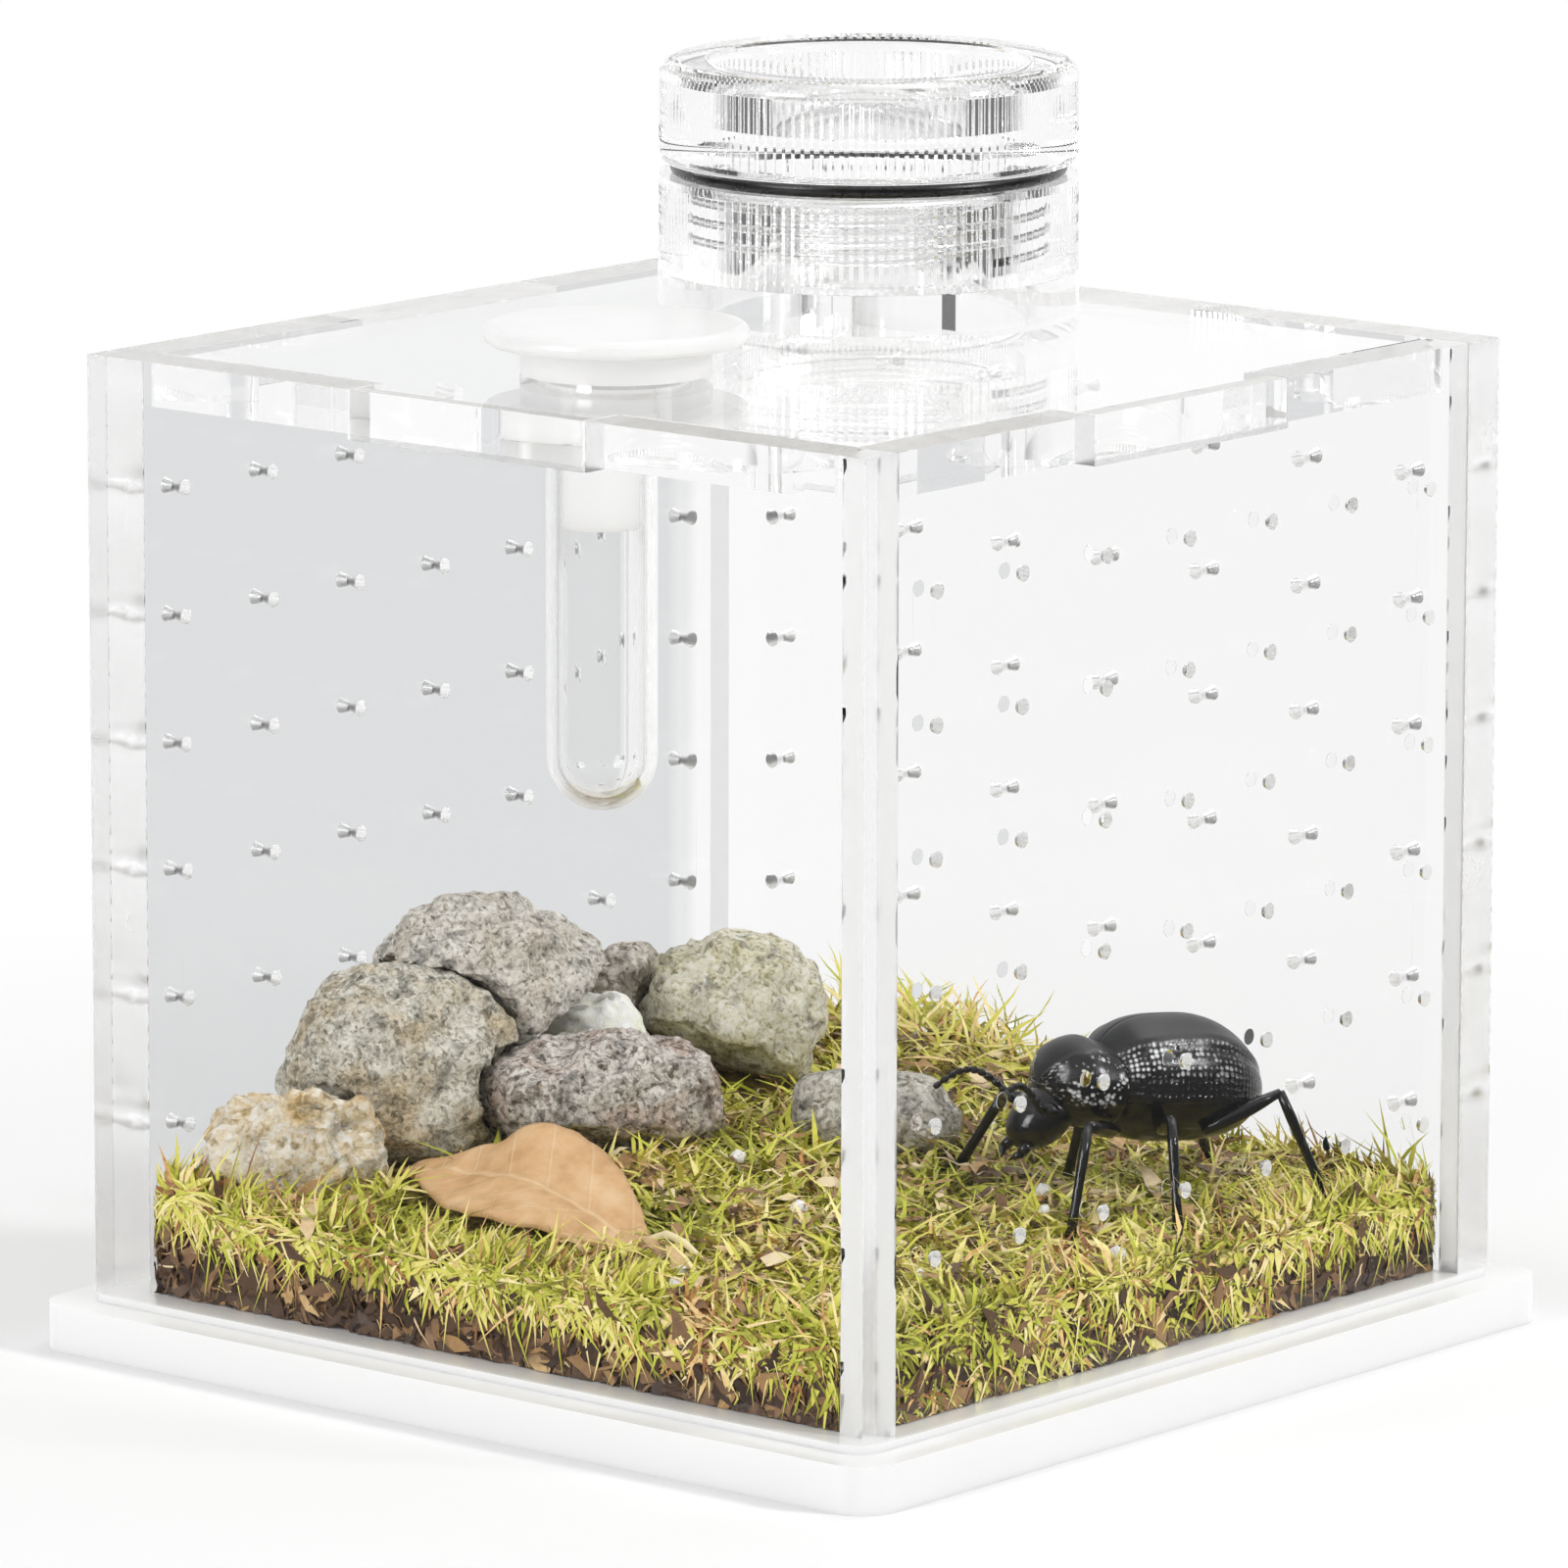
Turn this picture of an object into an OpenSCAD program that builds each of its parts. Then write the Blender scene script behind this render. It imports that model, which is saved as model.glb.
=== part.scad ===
// Small clear acrylic terrarium: a glued cube of plates on a white base, a drop-in lid with a
// screw-capped feeding port and a hanging water tube, and a moss landscape with a model beetle.
// Millimetres, +Z up. The origin is at the centre of the base plate's underside.

/* [Box] */
// Outer width of the box along the front wall
box_w = 100; // [84:1:160]
// Outer depth of the box from front wall to rear wall
box_d = 100; // [84:1:160]
// Height of the walls
wall_h = 95.5; // [80:0.5:150]
// Thickness of the clear acrylic walls
wall_t = 5; // [3:0.5:6]

/* [Base] */
// How far the base plate stands out past the walls
base_over = 4.5; // [2:0.5:10]
// Thickness of the base plate
base_t = 4.8; // [3:0.1:10]
// Corner radius of the base plate
base_r = 4; // [1:0.5:8]
// Thickness of the floor panel under the walls
floor_t = 0.8; // [0.5:0.1:3]
// How far the floor panel stands out past the walls
floor_over = 0.6; // [0:0.1:1.5]
// Corner radius of the floor panel
floor_r = 2.5; // [1:0.5:5]

/* [Vents] */
// Diameter of the air holes at the wall's faces
vent_d = 1.7; // [1.2:0.1:3]
// Diameter of the air holes' waist, halfway through the wall
vent_waist = 1; // [0.6:0.1:2]
// Spacing of the air holes, across and up
vent_pitch = 13; // [8:0.5:20]
// Height of the lowest row of air holes above the floor
vent_low = 16.5; // [15:0.5:30]
// Least distance from an air hole to the wall's end or top
vent_edge = 5.5; // [5:0.5:12]

/* [Lid] */
// Thickness of the lid
lid_t = 5; // [3:0.5:6]
// Clearance round the lid and its tabs
lid_gap = 0.3; // [0.2:0.05:0.6]
// Width of each of the four tabs that rest in the walls
tab_w = 30; // [15:1:40]
// Corner radius of the lid
lid_r = 1; // [0.5:0.5:3]

/* [Feeding port] */
// Outer diameter of the collar and the cap
port_d = 42.8; // [38:0.2:46]
// Distance from the inner left wall to the port's axis
port_from_left = 35.3; // [30:0.1:50]
// Distance from the inner rear wall to the port's axis
port_from_rear = 22; // [20:0.1:35]
// Wall of the collar round the way through it and the lid
collar_wall = 5.2; // [4:0.1:8]
// Height of the collar above the lid
collar_h = 14.2; // [10:0.1:20]
// Height of the smooth band at the collar's foot
collar_band = 4.6; // [2:0.1:6]
// Height of the cap above the seal ring
cap_h = 10.2; // [8:0.1:16]
// Radius of the cap's rounded top edge
cap_edge = 1.8; // [0.5:0.1:3]
// Width of the cap's rim round the dish in its top
dish_rim = 4.7; // [3.5:0.1:8]
// Depth of the dish in the top of the cap
dish_depth = 6; // [2:0.1:7]
// Length of the threaded skirt below the cap
skirt_h = 11; // [6:0.1:13]
// Wall of the threaded skirt
skirt_wall = 2.2; // [1.5:0.1:4]
// Clearance between the skirt and the bore, which the thread fills
thread_gap = 0.6; // [0.4:0.05:1]
// Number of grip ribs round the collar and the cap
rib_count = 132; // [60:1:160]
// Depth of the grip ribs
rib_depth = 0.35; // [0.2:0.05:0.6]
// How far the ribs' tips lie inside the smooth bands
rib_inset = 0.1; // [0.05:0.05:0.3]
// Height of the smooth lip beside each ribbed band
rib_lip = 0.8; // [0.4:0.1:2]
// Thickness of the seal ring's cord
ring_d = 1.6; // [1.2:0.1:2.4]
// How far the seal ring lies inside the collar's outer face
ring_inset = 1.2; // [0.4:0.1:2]
// How much of the seal ring's cord is pressed flat, in all
ring_squeeze = 0.1; // [0.05:0.01:0.3]
// Clearance between the seal ring and the shoulder that it sits on
ring_gap = 0.3; // [0.1:0.05:0.5]

/* [Water tube] */
// Distance from the inner left wall to the tube's axis
tube_from_left = 42.3; // [20:0.1:60]
// Distance from the inner front wall to the tube's axis
tube_from_front = 20.5; // [15:0.1:22]
// Outer diameter of the tube
tube_d = 11; // [9:0.5:13]
// Wall of the tube
tube_wall = 1.2; // [0.8:0.1:1.6]
// Length of the tube below the lid
tube_len = 38.5; // [25:0.5:45]
// Diameter of the stopper's head
head_d = 26.4; // [22:0.2:28]
// Thickness of the stopper's head
head_t = 2; // [1:0.1:4]
// Diameter of the stopper's neck
neck_d = 19; // [17:0.2:21]
// Height of the stopper's neck between lid and head
neck_h = 2.9; // [1:0.1:5]
// Diameter of the stopper's plug in the lid
plug_d = 14.4; // [14:0.2:16]
// Length of the stopper's nose inside the tube
nose_len = 10; // [5:0.5:15]
// Sliding clearance of the plug in the lid and of the nose in the tube
plug_gap = 0.3; // [0.2:0.05:0.5]

/* [Bed] */
// Depth of the brown litter at the bottom
soil_t = 5; // [3:0.5:8]
// Depth of the moss over the litter, at the front
moss_t = 3.2; // [2.6:0.1:6]
// Height of the mound under the stones
mound_h = 7; // [3:0.5:9]
// Height of the tussock against the rear wall
tussock_h = 4; // [1:0.5:5]
// Clearance of the bed to the walls, and of what is set into the moss
bed_gap = 0.15; // [0.1:0.05:0.3]

/* [Stones] */
// Length, depth and height of the speckled stone in the middle
speckled_size = [25, 15, 13.5]; // [8:0.5:30]
// Length, depth and height of the rough tan stone in the front left corner
tan_size = [18.5, 12, 13]; // [8:0.5:24]
// Length, depth and height of the olive stone at the right of the pile
olive_size = [18.5, 16, 18]; // [8:0.5:26]
// Length, depth and height of the low blue-grey stone beside the beetle
blue_size = [14.5, 10, 9.5]; // [8:0.5:20]
// Length, depth and height of the grey stone at the left of the pile
grey_size = [25, 15, 21.5]; // [8:0.5:28]
// Length, depth and height of the small pale stone in the middle of the pile
pale_size = [11, 9, 13]; // [6:0.5:14]
// Length, depth and height of the dark stone at the back
dark_size = [9, 10, 16]; // [6:0.5:20]
// Length, depth and height of the large grey stone on top of the pile
top_size = [26, 18, 26]; // [10:0.5:30]
// How deep the stones sink into the moss
stone_sink = 2; // [1:0.1:2.5]

/* [Leaf] */
// Length of the leaf's blade
leaf_len = 35.5; // [20:0.5:40]
// Width of the leaf's blade
leaf_w = 15; // [8:0.5:18]
// Height of the leaf's arch over the moss
leaf_arch = 5; // [1:0.5:7]
// Height of the crease that stands up at the leaf's far edge
leaf_crease = 1.5; // [0:0.5:3]
// Thickness of the leaf
leaf_t = 0.5; // [0.3:0.05:0.8]
// Length of the leaf's stalk
stalk_len = 10; // [4:0.5:14]
// Height of the stalk's arch over the moss
stalk_arch = 1.8; // [0.4:0.2:3]

/* [Beetle] */
// Length of the wing cases
wing_len = 20; // [14:0.5:22]
// Width of the body across the wing cases
beetle_w = 13; // [9:0.5:14]
// Height of the wing cases, underside included
beetle_h = 13; // [8:0.5:14]
// Clear height of the body above the moss
beetle_clear = 6.2; // [3:0.1:8]
// Thickness of a thigh
leg_d = 1.5; // [1:0.1:2]

/* [Hidden] */
$fn = 64;
eps = 0.01;

floor_z = base_t + floor_t;
rim_z = floor_z + wall_h;
lid_z = rim_z - lid_t;
in_w = box_w - 2 * wall_t;
in_d = box_d - 2 * wall_t;

port_x = -in_w / 2 + port_from_left;
port_y = in_d / 2 - port_from_rear;
bore_r = port_d / 2 - collar_wall;
dish_r = port_d / 2 - dish_rim;
ring_r = port_d / 2 - ring_inset;
ring_h = ring_d - ring_squeeze;
cap_z = rim_z + collar_h + ring_h;
skirt_r = bore_r - thread_gap;
shoulder_r = ring_r - ring_d - ring_gap;

tube_x = -in_w / 2 + tube_from_left;
tube_y = -in_d / 2 + tube_from_front;

// Cells of the bed's height field along each side
bed_cells = 24;
// Rings and sides of a stone and of the beetle's body forms, and sides of a leg or feeler
stone_rings = 9;
stone_sides = 14;
pod_rings = 10;
pod_sides = 20;
limb_sides = 8;

// Where things stand, as shares of the bed's half width and half depth
mound_at = [-0.62, 0.2];
mound_spread = 0.62;
tussock_at = [-0.42, 0.98];
tussock_spread = 0.3;

// Each stone: place on the bed, size, turn in plan and form number. An earlier stone keeps its
// whole form, and a later one gives way to it.
STONES = [
    [[-0.38, -0.19], speckled_size, 38, 1],
    [[-0.79, -0.77], tan_size, 40, 2],
    [[-0.45, 0.36], olive_size, 52, 3],
    [[0.02, 0.25], blue_size, 35, 4],
    [[-0.735, -0.47], grey_size, 42, 5],
    [[-0.58, 0.02], pale_size, 40, 6],
    [[-0.72, 0.3], dark_size, 30, 7],
    [[-0.71, -0.2], top_size, 48, 8]
];

// Leaf: middle of the blade on the bed, turn of its length in plan, power that puts its widest part
// towards the stalk, and where its crease is along the blade, with its reach to the point and the stalk
leaf_at = [-0.235, -0.61];
leaf_turn = -4;
leaf_skew = 1.35;
crease_at = 0.5;
crease_reach = [0.08, 0.18];

// Beetle: middle of its body on the bed, and the way that it faces in plan
beetle_at = [0.645, 0.475];
beetle_turn = 250;
beetle_pitch = -5;

// Flat plate with rounded corners, standing on z = 0
module plate(w, d, h, r) {
    linear_extrude(h) {
        square([w - 2 * r, d], center = true);
        square([w, d - 2 * r], center = true);
        for (x = [-1, 1], y = [-1, 1])
            translate([x * (w / 2 - r), y * (d / 2 - r)]) circle(r);
    }
}

// Upright wall along X, centred on its thickness, with a notch for a lid tab in its top edge
module notched_wall(length) {
    difference() {
        translate([-length / 2, -wall_t / 2, floor_z]) cube([length, wall_t, wall_h]);
        translate([-tab_w / 2 - lid_gap, -wall_t / 2 - eps, lid_z])
            cube([tab_w + 2 * lid_gap, wall_t + 2 * eps, lid_t + eps]);
    }
}

// Air hole along Y as a laser burns it: widest at both faces of the wall
module vent() {
    reach = wall_t / 2 + eps;
    rotate([90, 0, 0]) rotate_extrude($fn = 24)
        polygon([[0, -reach], [vent_d / 2, -reach], [vent_waist / 2, 0], [vent_d / 2, reach], [0, reach]]);
}

// Grid of air holes through a wall that stands along X, centred on its clear length
module vent_grid(length) {
    columns = floor((length - 2 * vent_edge) / vent_pitch);
    rows = floor((wall_h - lid_t - vent_edge - vent_low) / vent_pitch);
    for (i = [0 : columns], k = [0 : rows])
        translate([(i - columns / 2) * vent_pitch, 0, floor_z + vent_low + k * vent_pitch]) vent();
}

module vented_wall(length, clear) {
    difference() {
        notched_wall(length);
        vent_grid(clear);
    }
}

// Round bar of a given height with upright V-shaped grip ribs
module ribbed_bar(r, h) {
    steps = 2 * rib_count;
    linear_extrude(h)
        polygon([for (i = [0 : steps - 1])
            (r - rib_inset - rib_depth * (i % 2)) * [cos(360 * i / steps), sin(360 * i / steps)]]);
}

// Points of an arc in a profile, from angle a to angle b
function arc(centre, r, a, b, steps = 8) =
    [for (i = [0 : steps]) let (t = a + (b - a) * i / steps) centre + r * [cos(t), sin(t)]];

// Height of the litter and of the moss over the bed, both in shares of the bed's half sides
function bump(u, v, at, spread) =
    exp(-(pow(u - at.x, 2) + pow(v - at.y, 2)) / (2 * spread * spread));
function litter_top(u, v) =
    floor_z + soil_t + 0.5 * sin(310 * u + 40) * cos(260 * v) + 0.3 * sin(700 * u - 430 * v);
function moss_top(u, v) =
    floor_z + soil_t + moss_t
    + mound_h * bump(u, v, mound_at, mound_spread)
    + tussock_h * bump(u, v, tussock_at, tussock_spread)
    + 0.5 * sin(400 * u + 300 * v) * sin(360 * v - 250 * u)
    + 0.3 * sin(900 * u) * cos(820 * v + 60);

function bed_x(u) = u * (in_w / 2 - bed_gap);
function bed_y(v) = v * (in_d / 2 - bed_gap);
function on_moss(at) = [bed_x(at.x), bed_y(at.y), moss_top(at.x, at.y)];
// Height of the moss at a point in millimetres
function moss_z(x, y) = moss_top(2 * x / in_w, 2 * y / in_d);

// Closed solid between two height functions over the bed
module bed_layer(low, high) {
    n = bed_cells;
    share = [for (i = [0 : n]) 2 * i / n - 1];
    function grid(f) = [for (j = [0 : n], i = [0 : n])
        [bed_x(share[i]), bed_y(share[j]), f(share[i], share[j])]];
    m = (n + 1) * (n + 1);
    function at(i, j) = j * (n + 1) + i;
    top = [for (j = [0 : n - 1], i = [0 : n - 1], half = [0, 1])
        half == 0 ? [at(i, j), at(i + 1, j + 1), at(i + 1, j)]
                  : [at(i, j), at(i, j + 1), at(i + 1, j + 1)]];
    rim = concat(
        [for (i = [0 : n - 1]) at(i, 0)], [for (j = [0 : n - 1]) at(n, j)],
        [for (i = [n : -1 : 1]) at(i, n)], [for (j = [n : -1 : 1]) at(0, j)]);
    turns = len(rim);
    side = [for (k = [0 : turns - 1], half = [0, 1])
        let (a = rim[k], b = rim[(k + 1) % turns])
        half == 0 ? [a, b, b + m] : [a, b + m, a + m]];
    bottom = [for (f = top) [f[2] + m, f[1] + m, f[0] + m]];
    polyhedron(concat(grid(high), grid(low)), concat(top, side, bottom));
}

// Closed skin over rings of points, with one point to close each end. Each ring turns right-handed
// about the way to the next ring.
module ring_skin(rings, first, last) {
    n = len(rings[0]);
    end = (len(rings) - 1) * n;
    points = concat([for (r = rings) each r], [first, last]);
    pole = len(points) - 2;
    sides = [for (k = [0 : len(rings) - 2], i = [0 : n - 1], t = [0, 1])
        let (j = (i + 1) % n, a = k * n, b = a + n)
        t == 0 ? [a + i, b + i, b + j] : [a + i, b + j, a + j]];
    caps = [for (i = [0 : n - 1], t = [0, 1])
        let (j = (i + 1) % n)
        t == 0 ? [pole, i, j] : [pole + 1, end + j, end + i]];
    polyhedron(points, concat(sides, caps));
}

// Rounded, lumpy stone about its own middle
function lump(a, b, seed) =
    1 + 0.07 * sin(2 * a + 47 * seed) * cos(b)
    + 0.05 * sin(3 * a + 91 * seed + 2 * b)
    + 0.045 * sin(3 * b + 133 * seed + a)
    + 0.03 * sin(5 * a - 61 * seed) * cos(2 * b);
function square_off(c) = sign(c) * pow(abs(c), 0.82);

module lumpy(size, seed, grow) {
    half = size / 2 + [grow, grow, grow];
    function spot(a, b) =
        let (r = lump(a, b, seed), f = pow(cos(b), 0.85))
        [half.x * r * f * square_off(cos(a)), half.y * r * f * square_off(sin(a)),
         half.z * square_off(sin(b)) * (1 + 0.06 * sin(a + 70 * seed))];
    rings = [for (k = [1 : stone_rings - 1]) [for (i = [0 : stone_sides - 1])
        spot(360 * i / stone_sides, -90 + 180 * k / stone_rings)]];
    ring_skin(rings, [0, 0, -half.z], [0, 0, half.z]);
}

// Stone number i as it lies in the moss, grown by a margin
module stone_form(i, grow = 0) {
    s = STONES[i];
    translate(on_moss(s[0]) + [0, 0, s[1].z / 2 - stone_sink])
        rotate([0, 0, s[2]]) lumpy(s[1], s[3], grow);
}

// Room between the walls, less a margin
module inside(margin) {
    translate([-in_w / 2 + margin, -in_d / 2 + margin, floor_z + margin])
        cube([in_w - 2 * margin, in_d - 2 * margin, wall_h]);
}

module stone(i) {
    difference() {
        intersection() {
            stone_form(i);
            inside(bed_gap);
        }
        if (i > 0)
            for (j = [0 : i - 1]) stone_form(j, bed_gap);
        for (side = [-1, 1], k = [0 : 2]) leg_form(side, k, bed_gap);
    }
}

// Tube of changing thickness along points that lie in one upright plane
module limb(points, radii, across) {
    last = len(points) - 1;
    function unit(v) = v / norm(v);
    function along(k) = unit(points[min(k + 1, last)] - points[max(k - 1, 0)]);
    rings = [for (k = [0 : last]) [for (i = [0 : limb_sides - 1])
        let (a = 360 * i / limb_sides, up = cross(along(k), across))
        points[k] + radii[k] * (cos(a) * across + sin(a) * up)]];
    ring_skin(rings, points[0] - radii[0] * along(0) / 2, points[last] + radii[last] * along(last) / 2);
}

// Dry leaf: a pointed blade arched over the moss, with a fold along its midrib and a crease across it
function leaf_point(s, w, lift) =
    let (half = leaf_w / 2 * sin(180 * pow(s, leaf_skew)) + leaf_t / 2,
         x = (s - 0.5) * leaf_len,
         y = w * half - 2.2 * sin(180 * s),
         c = cos(leaf_turn), n = sin(leaf_turn),
         px = bed_x(leaf_at.x) + x * c - y * n,
         py = bed_y(leaf_at.y) + x * n + y * c,
         reach = s < crease_at ? crease_reach[0] : crease_reach[1],
         crease = leaf_crease * exp(-pow((s - crease_at) / reach, 2)) * pow((w + 1) / 2, 1.5),
         rise = leaf_arch * sin(180 * s) * (0.35 + 0.65 * pow((w + 1) / 2, 0.9))
                + 0.8 * abs(w) * sin(180 * s) + crease)
    [px, py, moss_z(px, py) + rise + lift];

module leaf_form(grow = 0) {
    long = 16;
    wide = 6;
    m = (long + 1) * (wide + 1);
    half = leaf_t / 2 + grow;
    function skin(lift) = [for (k = [0 : long], i = [0 : wide])
        leaf_point(k / long, 2 * i / wide - 1, lift)];
    function at(k, i) = k * (wide + 1) + i;
    top = [for (k = [0 : long - 1], i = [0 : wide - 1], t = [0, 1])
        t == 0 ? [at(k, i), at(k + 1, i + 1), at(k + 1, i)]
               : [at(k, i), at(k, i + 1), at(k + 1, i + 1)]];
    rim = concat(
        [for (i = [0 : wide - 1]) at(0, i)], [for (k = [0 : long - 1]) at(k, wide)],
        [for (i = [wide : -1 : 1]) at(long, i)], [for (k = [long : -1 : 1]) at(k, 0)]);
    turns = len(rim);
    side = [for (k = [0 : turns - 1], t = [0, 1])
        let (a = rim[k], b = rim[(k + 1) % turns])
        t == 0 ? [b, a, a + m] : [b, a + m, b + m]];
    bottom = [for (f = top) [f[2] + m, f[1] + m, f[0] + m]];
    faces = concat(top, side, bottom);
    polyhedron(concat(skin(half), skin(-half)), faces);
    stalk(grow);
}

// Stalk of the leaf, running on from its stem end
module stalk(grow) {
    dir = [cos(leaf_turn), sin(leaf_turn), 0];
    start = leaf_point(0.93, 0, 0);
    steps = 4;
    points = [for (k = [0 : steps])
        let (p = start + dir * (stalk_len * k / steps),
             z = k == 0 ? p.z : moss_z(p.x, p.y) + stalk_arch * sin(180 * k / steps))
        [p.x, p.y, z]];
    limb(points, [for (k = [0 : steps]) 0.5 - 0.05 * k + grow], [-dir.y, dir.x, 0]);
}

// Beetle's own frame: +X ahead, +Z up, at the middle of its wing cases
belly_z = moss_top(beetle_at.x, beetle_at.y) + beetle_clear + beetle_h / 2;
module in_beetle() {
    translate([bed_x(beetle_at.x), bed_y(beetle_at.y), belly_z])
        rotate([0, 0, beetle_turn]) rotate([0, beetle_pitch, 0]) children();
}
function beetle_point(p) =
    let (c = cos(beetle_pitch), s = sin(beetle_pitch),
         x = p.x * c + p.z * s, z = -p.x * s + p.z * c,
         a = cos(beetle_turn), b = sin(beetle_turn))
    [bed_x(beetle_at.x) + x * a - p.y * b, bed_y(beetle_at.y) + x * b + p.y * a, belly_z + z];

// Rounded body along X. Its ends are blunter the higher their powers, and its tail hangs down.
module pod(size, nose, tail, droop, grow) {
    half = size / 2 + [grow, grow, grow];
    function girth(t) = sqrt(1 - pow(abs(t), t > 0 ? nose : tail));
    function sag(t) = -droop * pow(max(0, -t), 2);
    rings = [for (k = [1 : pod_rings - 1]) [for (i = [0 : pod_sides - 1])
        let (t = -cos(180 * k / pod_rings), a = 360 * i / pod_sides)
        [half.x * t, half.y * girth(t) * cos(a), half.z * girth(t) * sin(a) + sag(t)]]];
    ring_skin(rings, [-half.x, 0, sag(-1)], [half.x, 0, 0]);
}

// Places and sizes of the fore body, and how far the wing cases' tail hangs
thorax_x = wing_len * 0.53;
thorax_drop = 0.2;
thorax_size = [10.5, beetle_w * 0.82, beetle_h * 0.72];
head_x = thorax_x + 4.6;
head_drop = 3.8;
head_tilt = 42;
head_size = [8, beetle_w * 0.5, beetle_h * 0.42];
wing_droop = 1.6;

// Both wing cases with the belly as one dome
module wing_dome(grow = 0) {
    pod([wing_len, beetle_w, beetle_h], 3, 2.2, wing_droop, grow);
}
module thorax_form(grow = 0) {
    translate([thorax_x, 0, -thorax_drop]) pod(thorax_size, 2.4, 2.8, 0, grow);
}
module head_form(grow = 0) {
    translate([head_x, 0, -head_drop]) rotate([0, head_tilt, 0]) pod(head_size, 1.8, 2.4, 0, grow);
}
// Line on the flank where wing cases end and the belly begins
flank_z = -beetle_h * 0.12;
body_gap = 0.1;

module wing_case(side) {
    difference() {
        wing_dome();
        translate([-wing_len * 2, -side * beetle_w * 2 - beetle_w * 2 + side * body_gap / 2, -beetle_h * 2])
            cube([wing_len * 4, beetle_w * 4, beetle_h * 4]);
        translate([-wing_len * 2, -beetle_w * 2, flank_z - beetle_h * 4])
            cube([wing_len * 4, beetle_w * 4, beetle_h * 4]);
        thorax_form(body_gap);
    }
}

// Leg number k, front to hind, on one side: hip, thigh, knee, shin and foot
hip_x = [8.5, 3.5, -1];
hip_y = [3.9, 3.9, 5];
left_foot = [[21, 12.5], [8, 15], [-17, 8]];
right_foot = [[19, -15], [8.5, -8.5], [-11.5, -8.5]];
knee_z = [2, 2.4, 3.4];
foot_sink = 0.25;

function leg_points(side, k) =
    let (hip = beetle_point([hip_x[k], side * hip_y[k], -beetle_h * 0.36]),
         stand = side > 0 ? left_foot[k] : right_foot[k],
         tip = beetle_point([stand.x, stand.y, 0]),
         foot = [tip.x, tip.y, moss_z(tip.x, tip.y) - foot_sink],
         run = foot - hip,
         knee = hip + [run.x * 0.5, run.y * 0.5, knee_z[k]],
         ankle = foot - [run.x * 0.2, run.y * 0.2, -1.1])
    [hip, hip + 0.45 * (knee - hip), knee, knee + 0.5 * (ankle - knee), ankle, foot];

module leg_form(side, k, grow = 0) {
    points = leg_points(side, k);
    run = points[5] - points[0];
    flat = norm([run.x, run.y]);
    radii = leg_d * [0.3, 0.5, 0.36, 0.3, 0.22, 0.16];
    limb(points, [for (r = radii) r + grow], [-run.y / flat, run.x / flat, 0]);
}

module leg(side, k) {
    difference() {
        leg_form(side, k);
        in_beetle() {
            wing_dome(body_gap);
            thorax_form(body_gap);
        }
    }
}

module feeler(side) {
    base = beetle_point([head_x + 1.5, side * head_size.y * 0.4, -head_drop + 1]);
    tip = beetle_point([head_x + 9, side * 6, -head_drop + 2]);
    run = tip - base;
    flat = norm([run.x, run.y]);
    steps = 6;
    points = [for (k = [0 : steps]) base + run * k / steps + [0, 0, 2.6 * sin(180 * k / steps)]];
    difference() {
        limb(points, [for (k = [0 : steps]) 0.32 - 0.02 * k], [-run.y / flat, run.x / flat, 0]);
        in_beetle() head_form(body_gap);
    }
}

// Box and base

module base_plate() {
    color("whitesmoke") plate(box_w + 2 * base_over, box_d + 2 * base_over, base_t, base_r);
}

module floor_panel() {
    color("white") translate([0, 0, base_t])
        plate(box_w + 2 * floor_over, box_d + 2 * floor_over, floor_t, floor_r);
}

module front_wall() {
    color("lightcyan", 0.4) translate([0, -(box_d - wall_t) / 2, 0]) notched_wall(box_w);
}

module rear_wall() {
    color("lightcyan", 0.4) translate([0, (box_d - wall_t) / 2, 0]) vented_wall(box_w, in_w);
}

module left_wall() {
    color("aliceblue", 0.4) translate([-(box_w - wall_t) / 2, 0, 0])
        rotate([0, 0, 90]) vented_wall(in_d, in_d);
}

module right_wall() {
    color("aliceblue", 0.4) translate([(box_w - wall_t) / 2, 0, 0])
        rotate([0, 0, 90]) vented_wall(in_d, in_d);
}

// Lid, feeding port and water tube

module lid_panel() {
    color("azure", 0.4) difference() {
        translate([0, 0, lid_z]) {
            plate(in_w - 2 * lid_gap, in_d - 2 * lid_gap, lid_t, lid_r);
            translate([-tab_w / 2, -box_d / 2, 0]) cube([tab_w, box_d, lid_t]);
            translate([-box_w / 2, -tab_w / 2, 0]) cube([box_w, tab_w, lid_t]);
        }
        translate([port_x, port_y, lid_z - 1]) cylinder(r = bore_r, h = lid_t + 2);
        translate([tube_x, tube_y, lid_z - 1]) cylinder(r = plug_d / 2 + plug_gap, h = lid_t + 2);
    }
}

module port_collar() {
    color("azure", 0.5) translate([port_x, port_y, rim_z]) difference() {
        union() {
            cylinder(d = port_d, h = collar_band);
            translate([0, 0, collar_band])
                ribbed_bar(port_d / 2, collar_h - collar_band - rib_lip);
            translate([0, 0, collar_h - rib_lip]) cylinder(d = port_d - rib_depth, h = rib_lip);
        }
        translate([0, 0, -1]) cylinder(r = bore_r, h = collar_h + 2);
    }
}

module port_ring() {
    color("black") translate([port_x, port_y, rim_z + collar_h + ring_h / 2])
        rotate_extrude() intersection() {
            translate([ring_r - ring_d / 2, 0]) circle(d = ring_d);
            translate([0, -ring_h / 2]) square([ring_r, ring_h]);
        }
}

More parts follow.
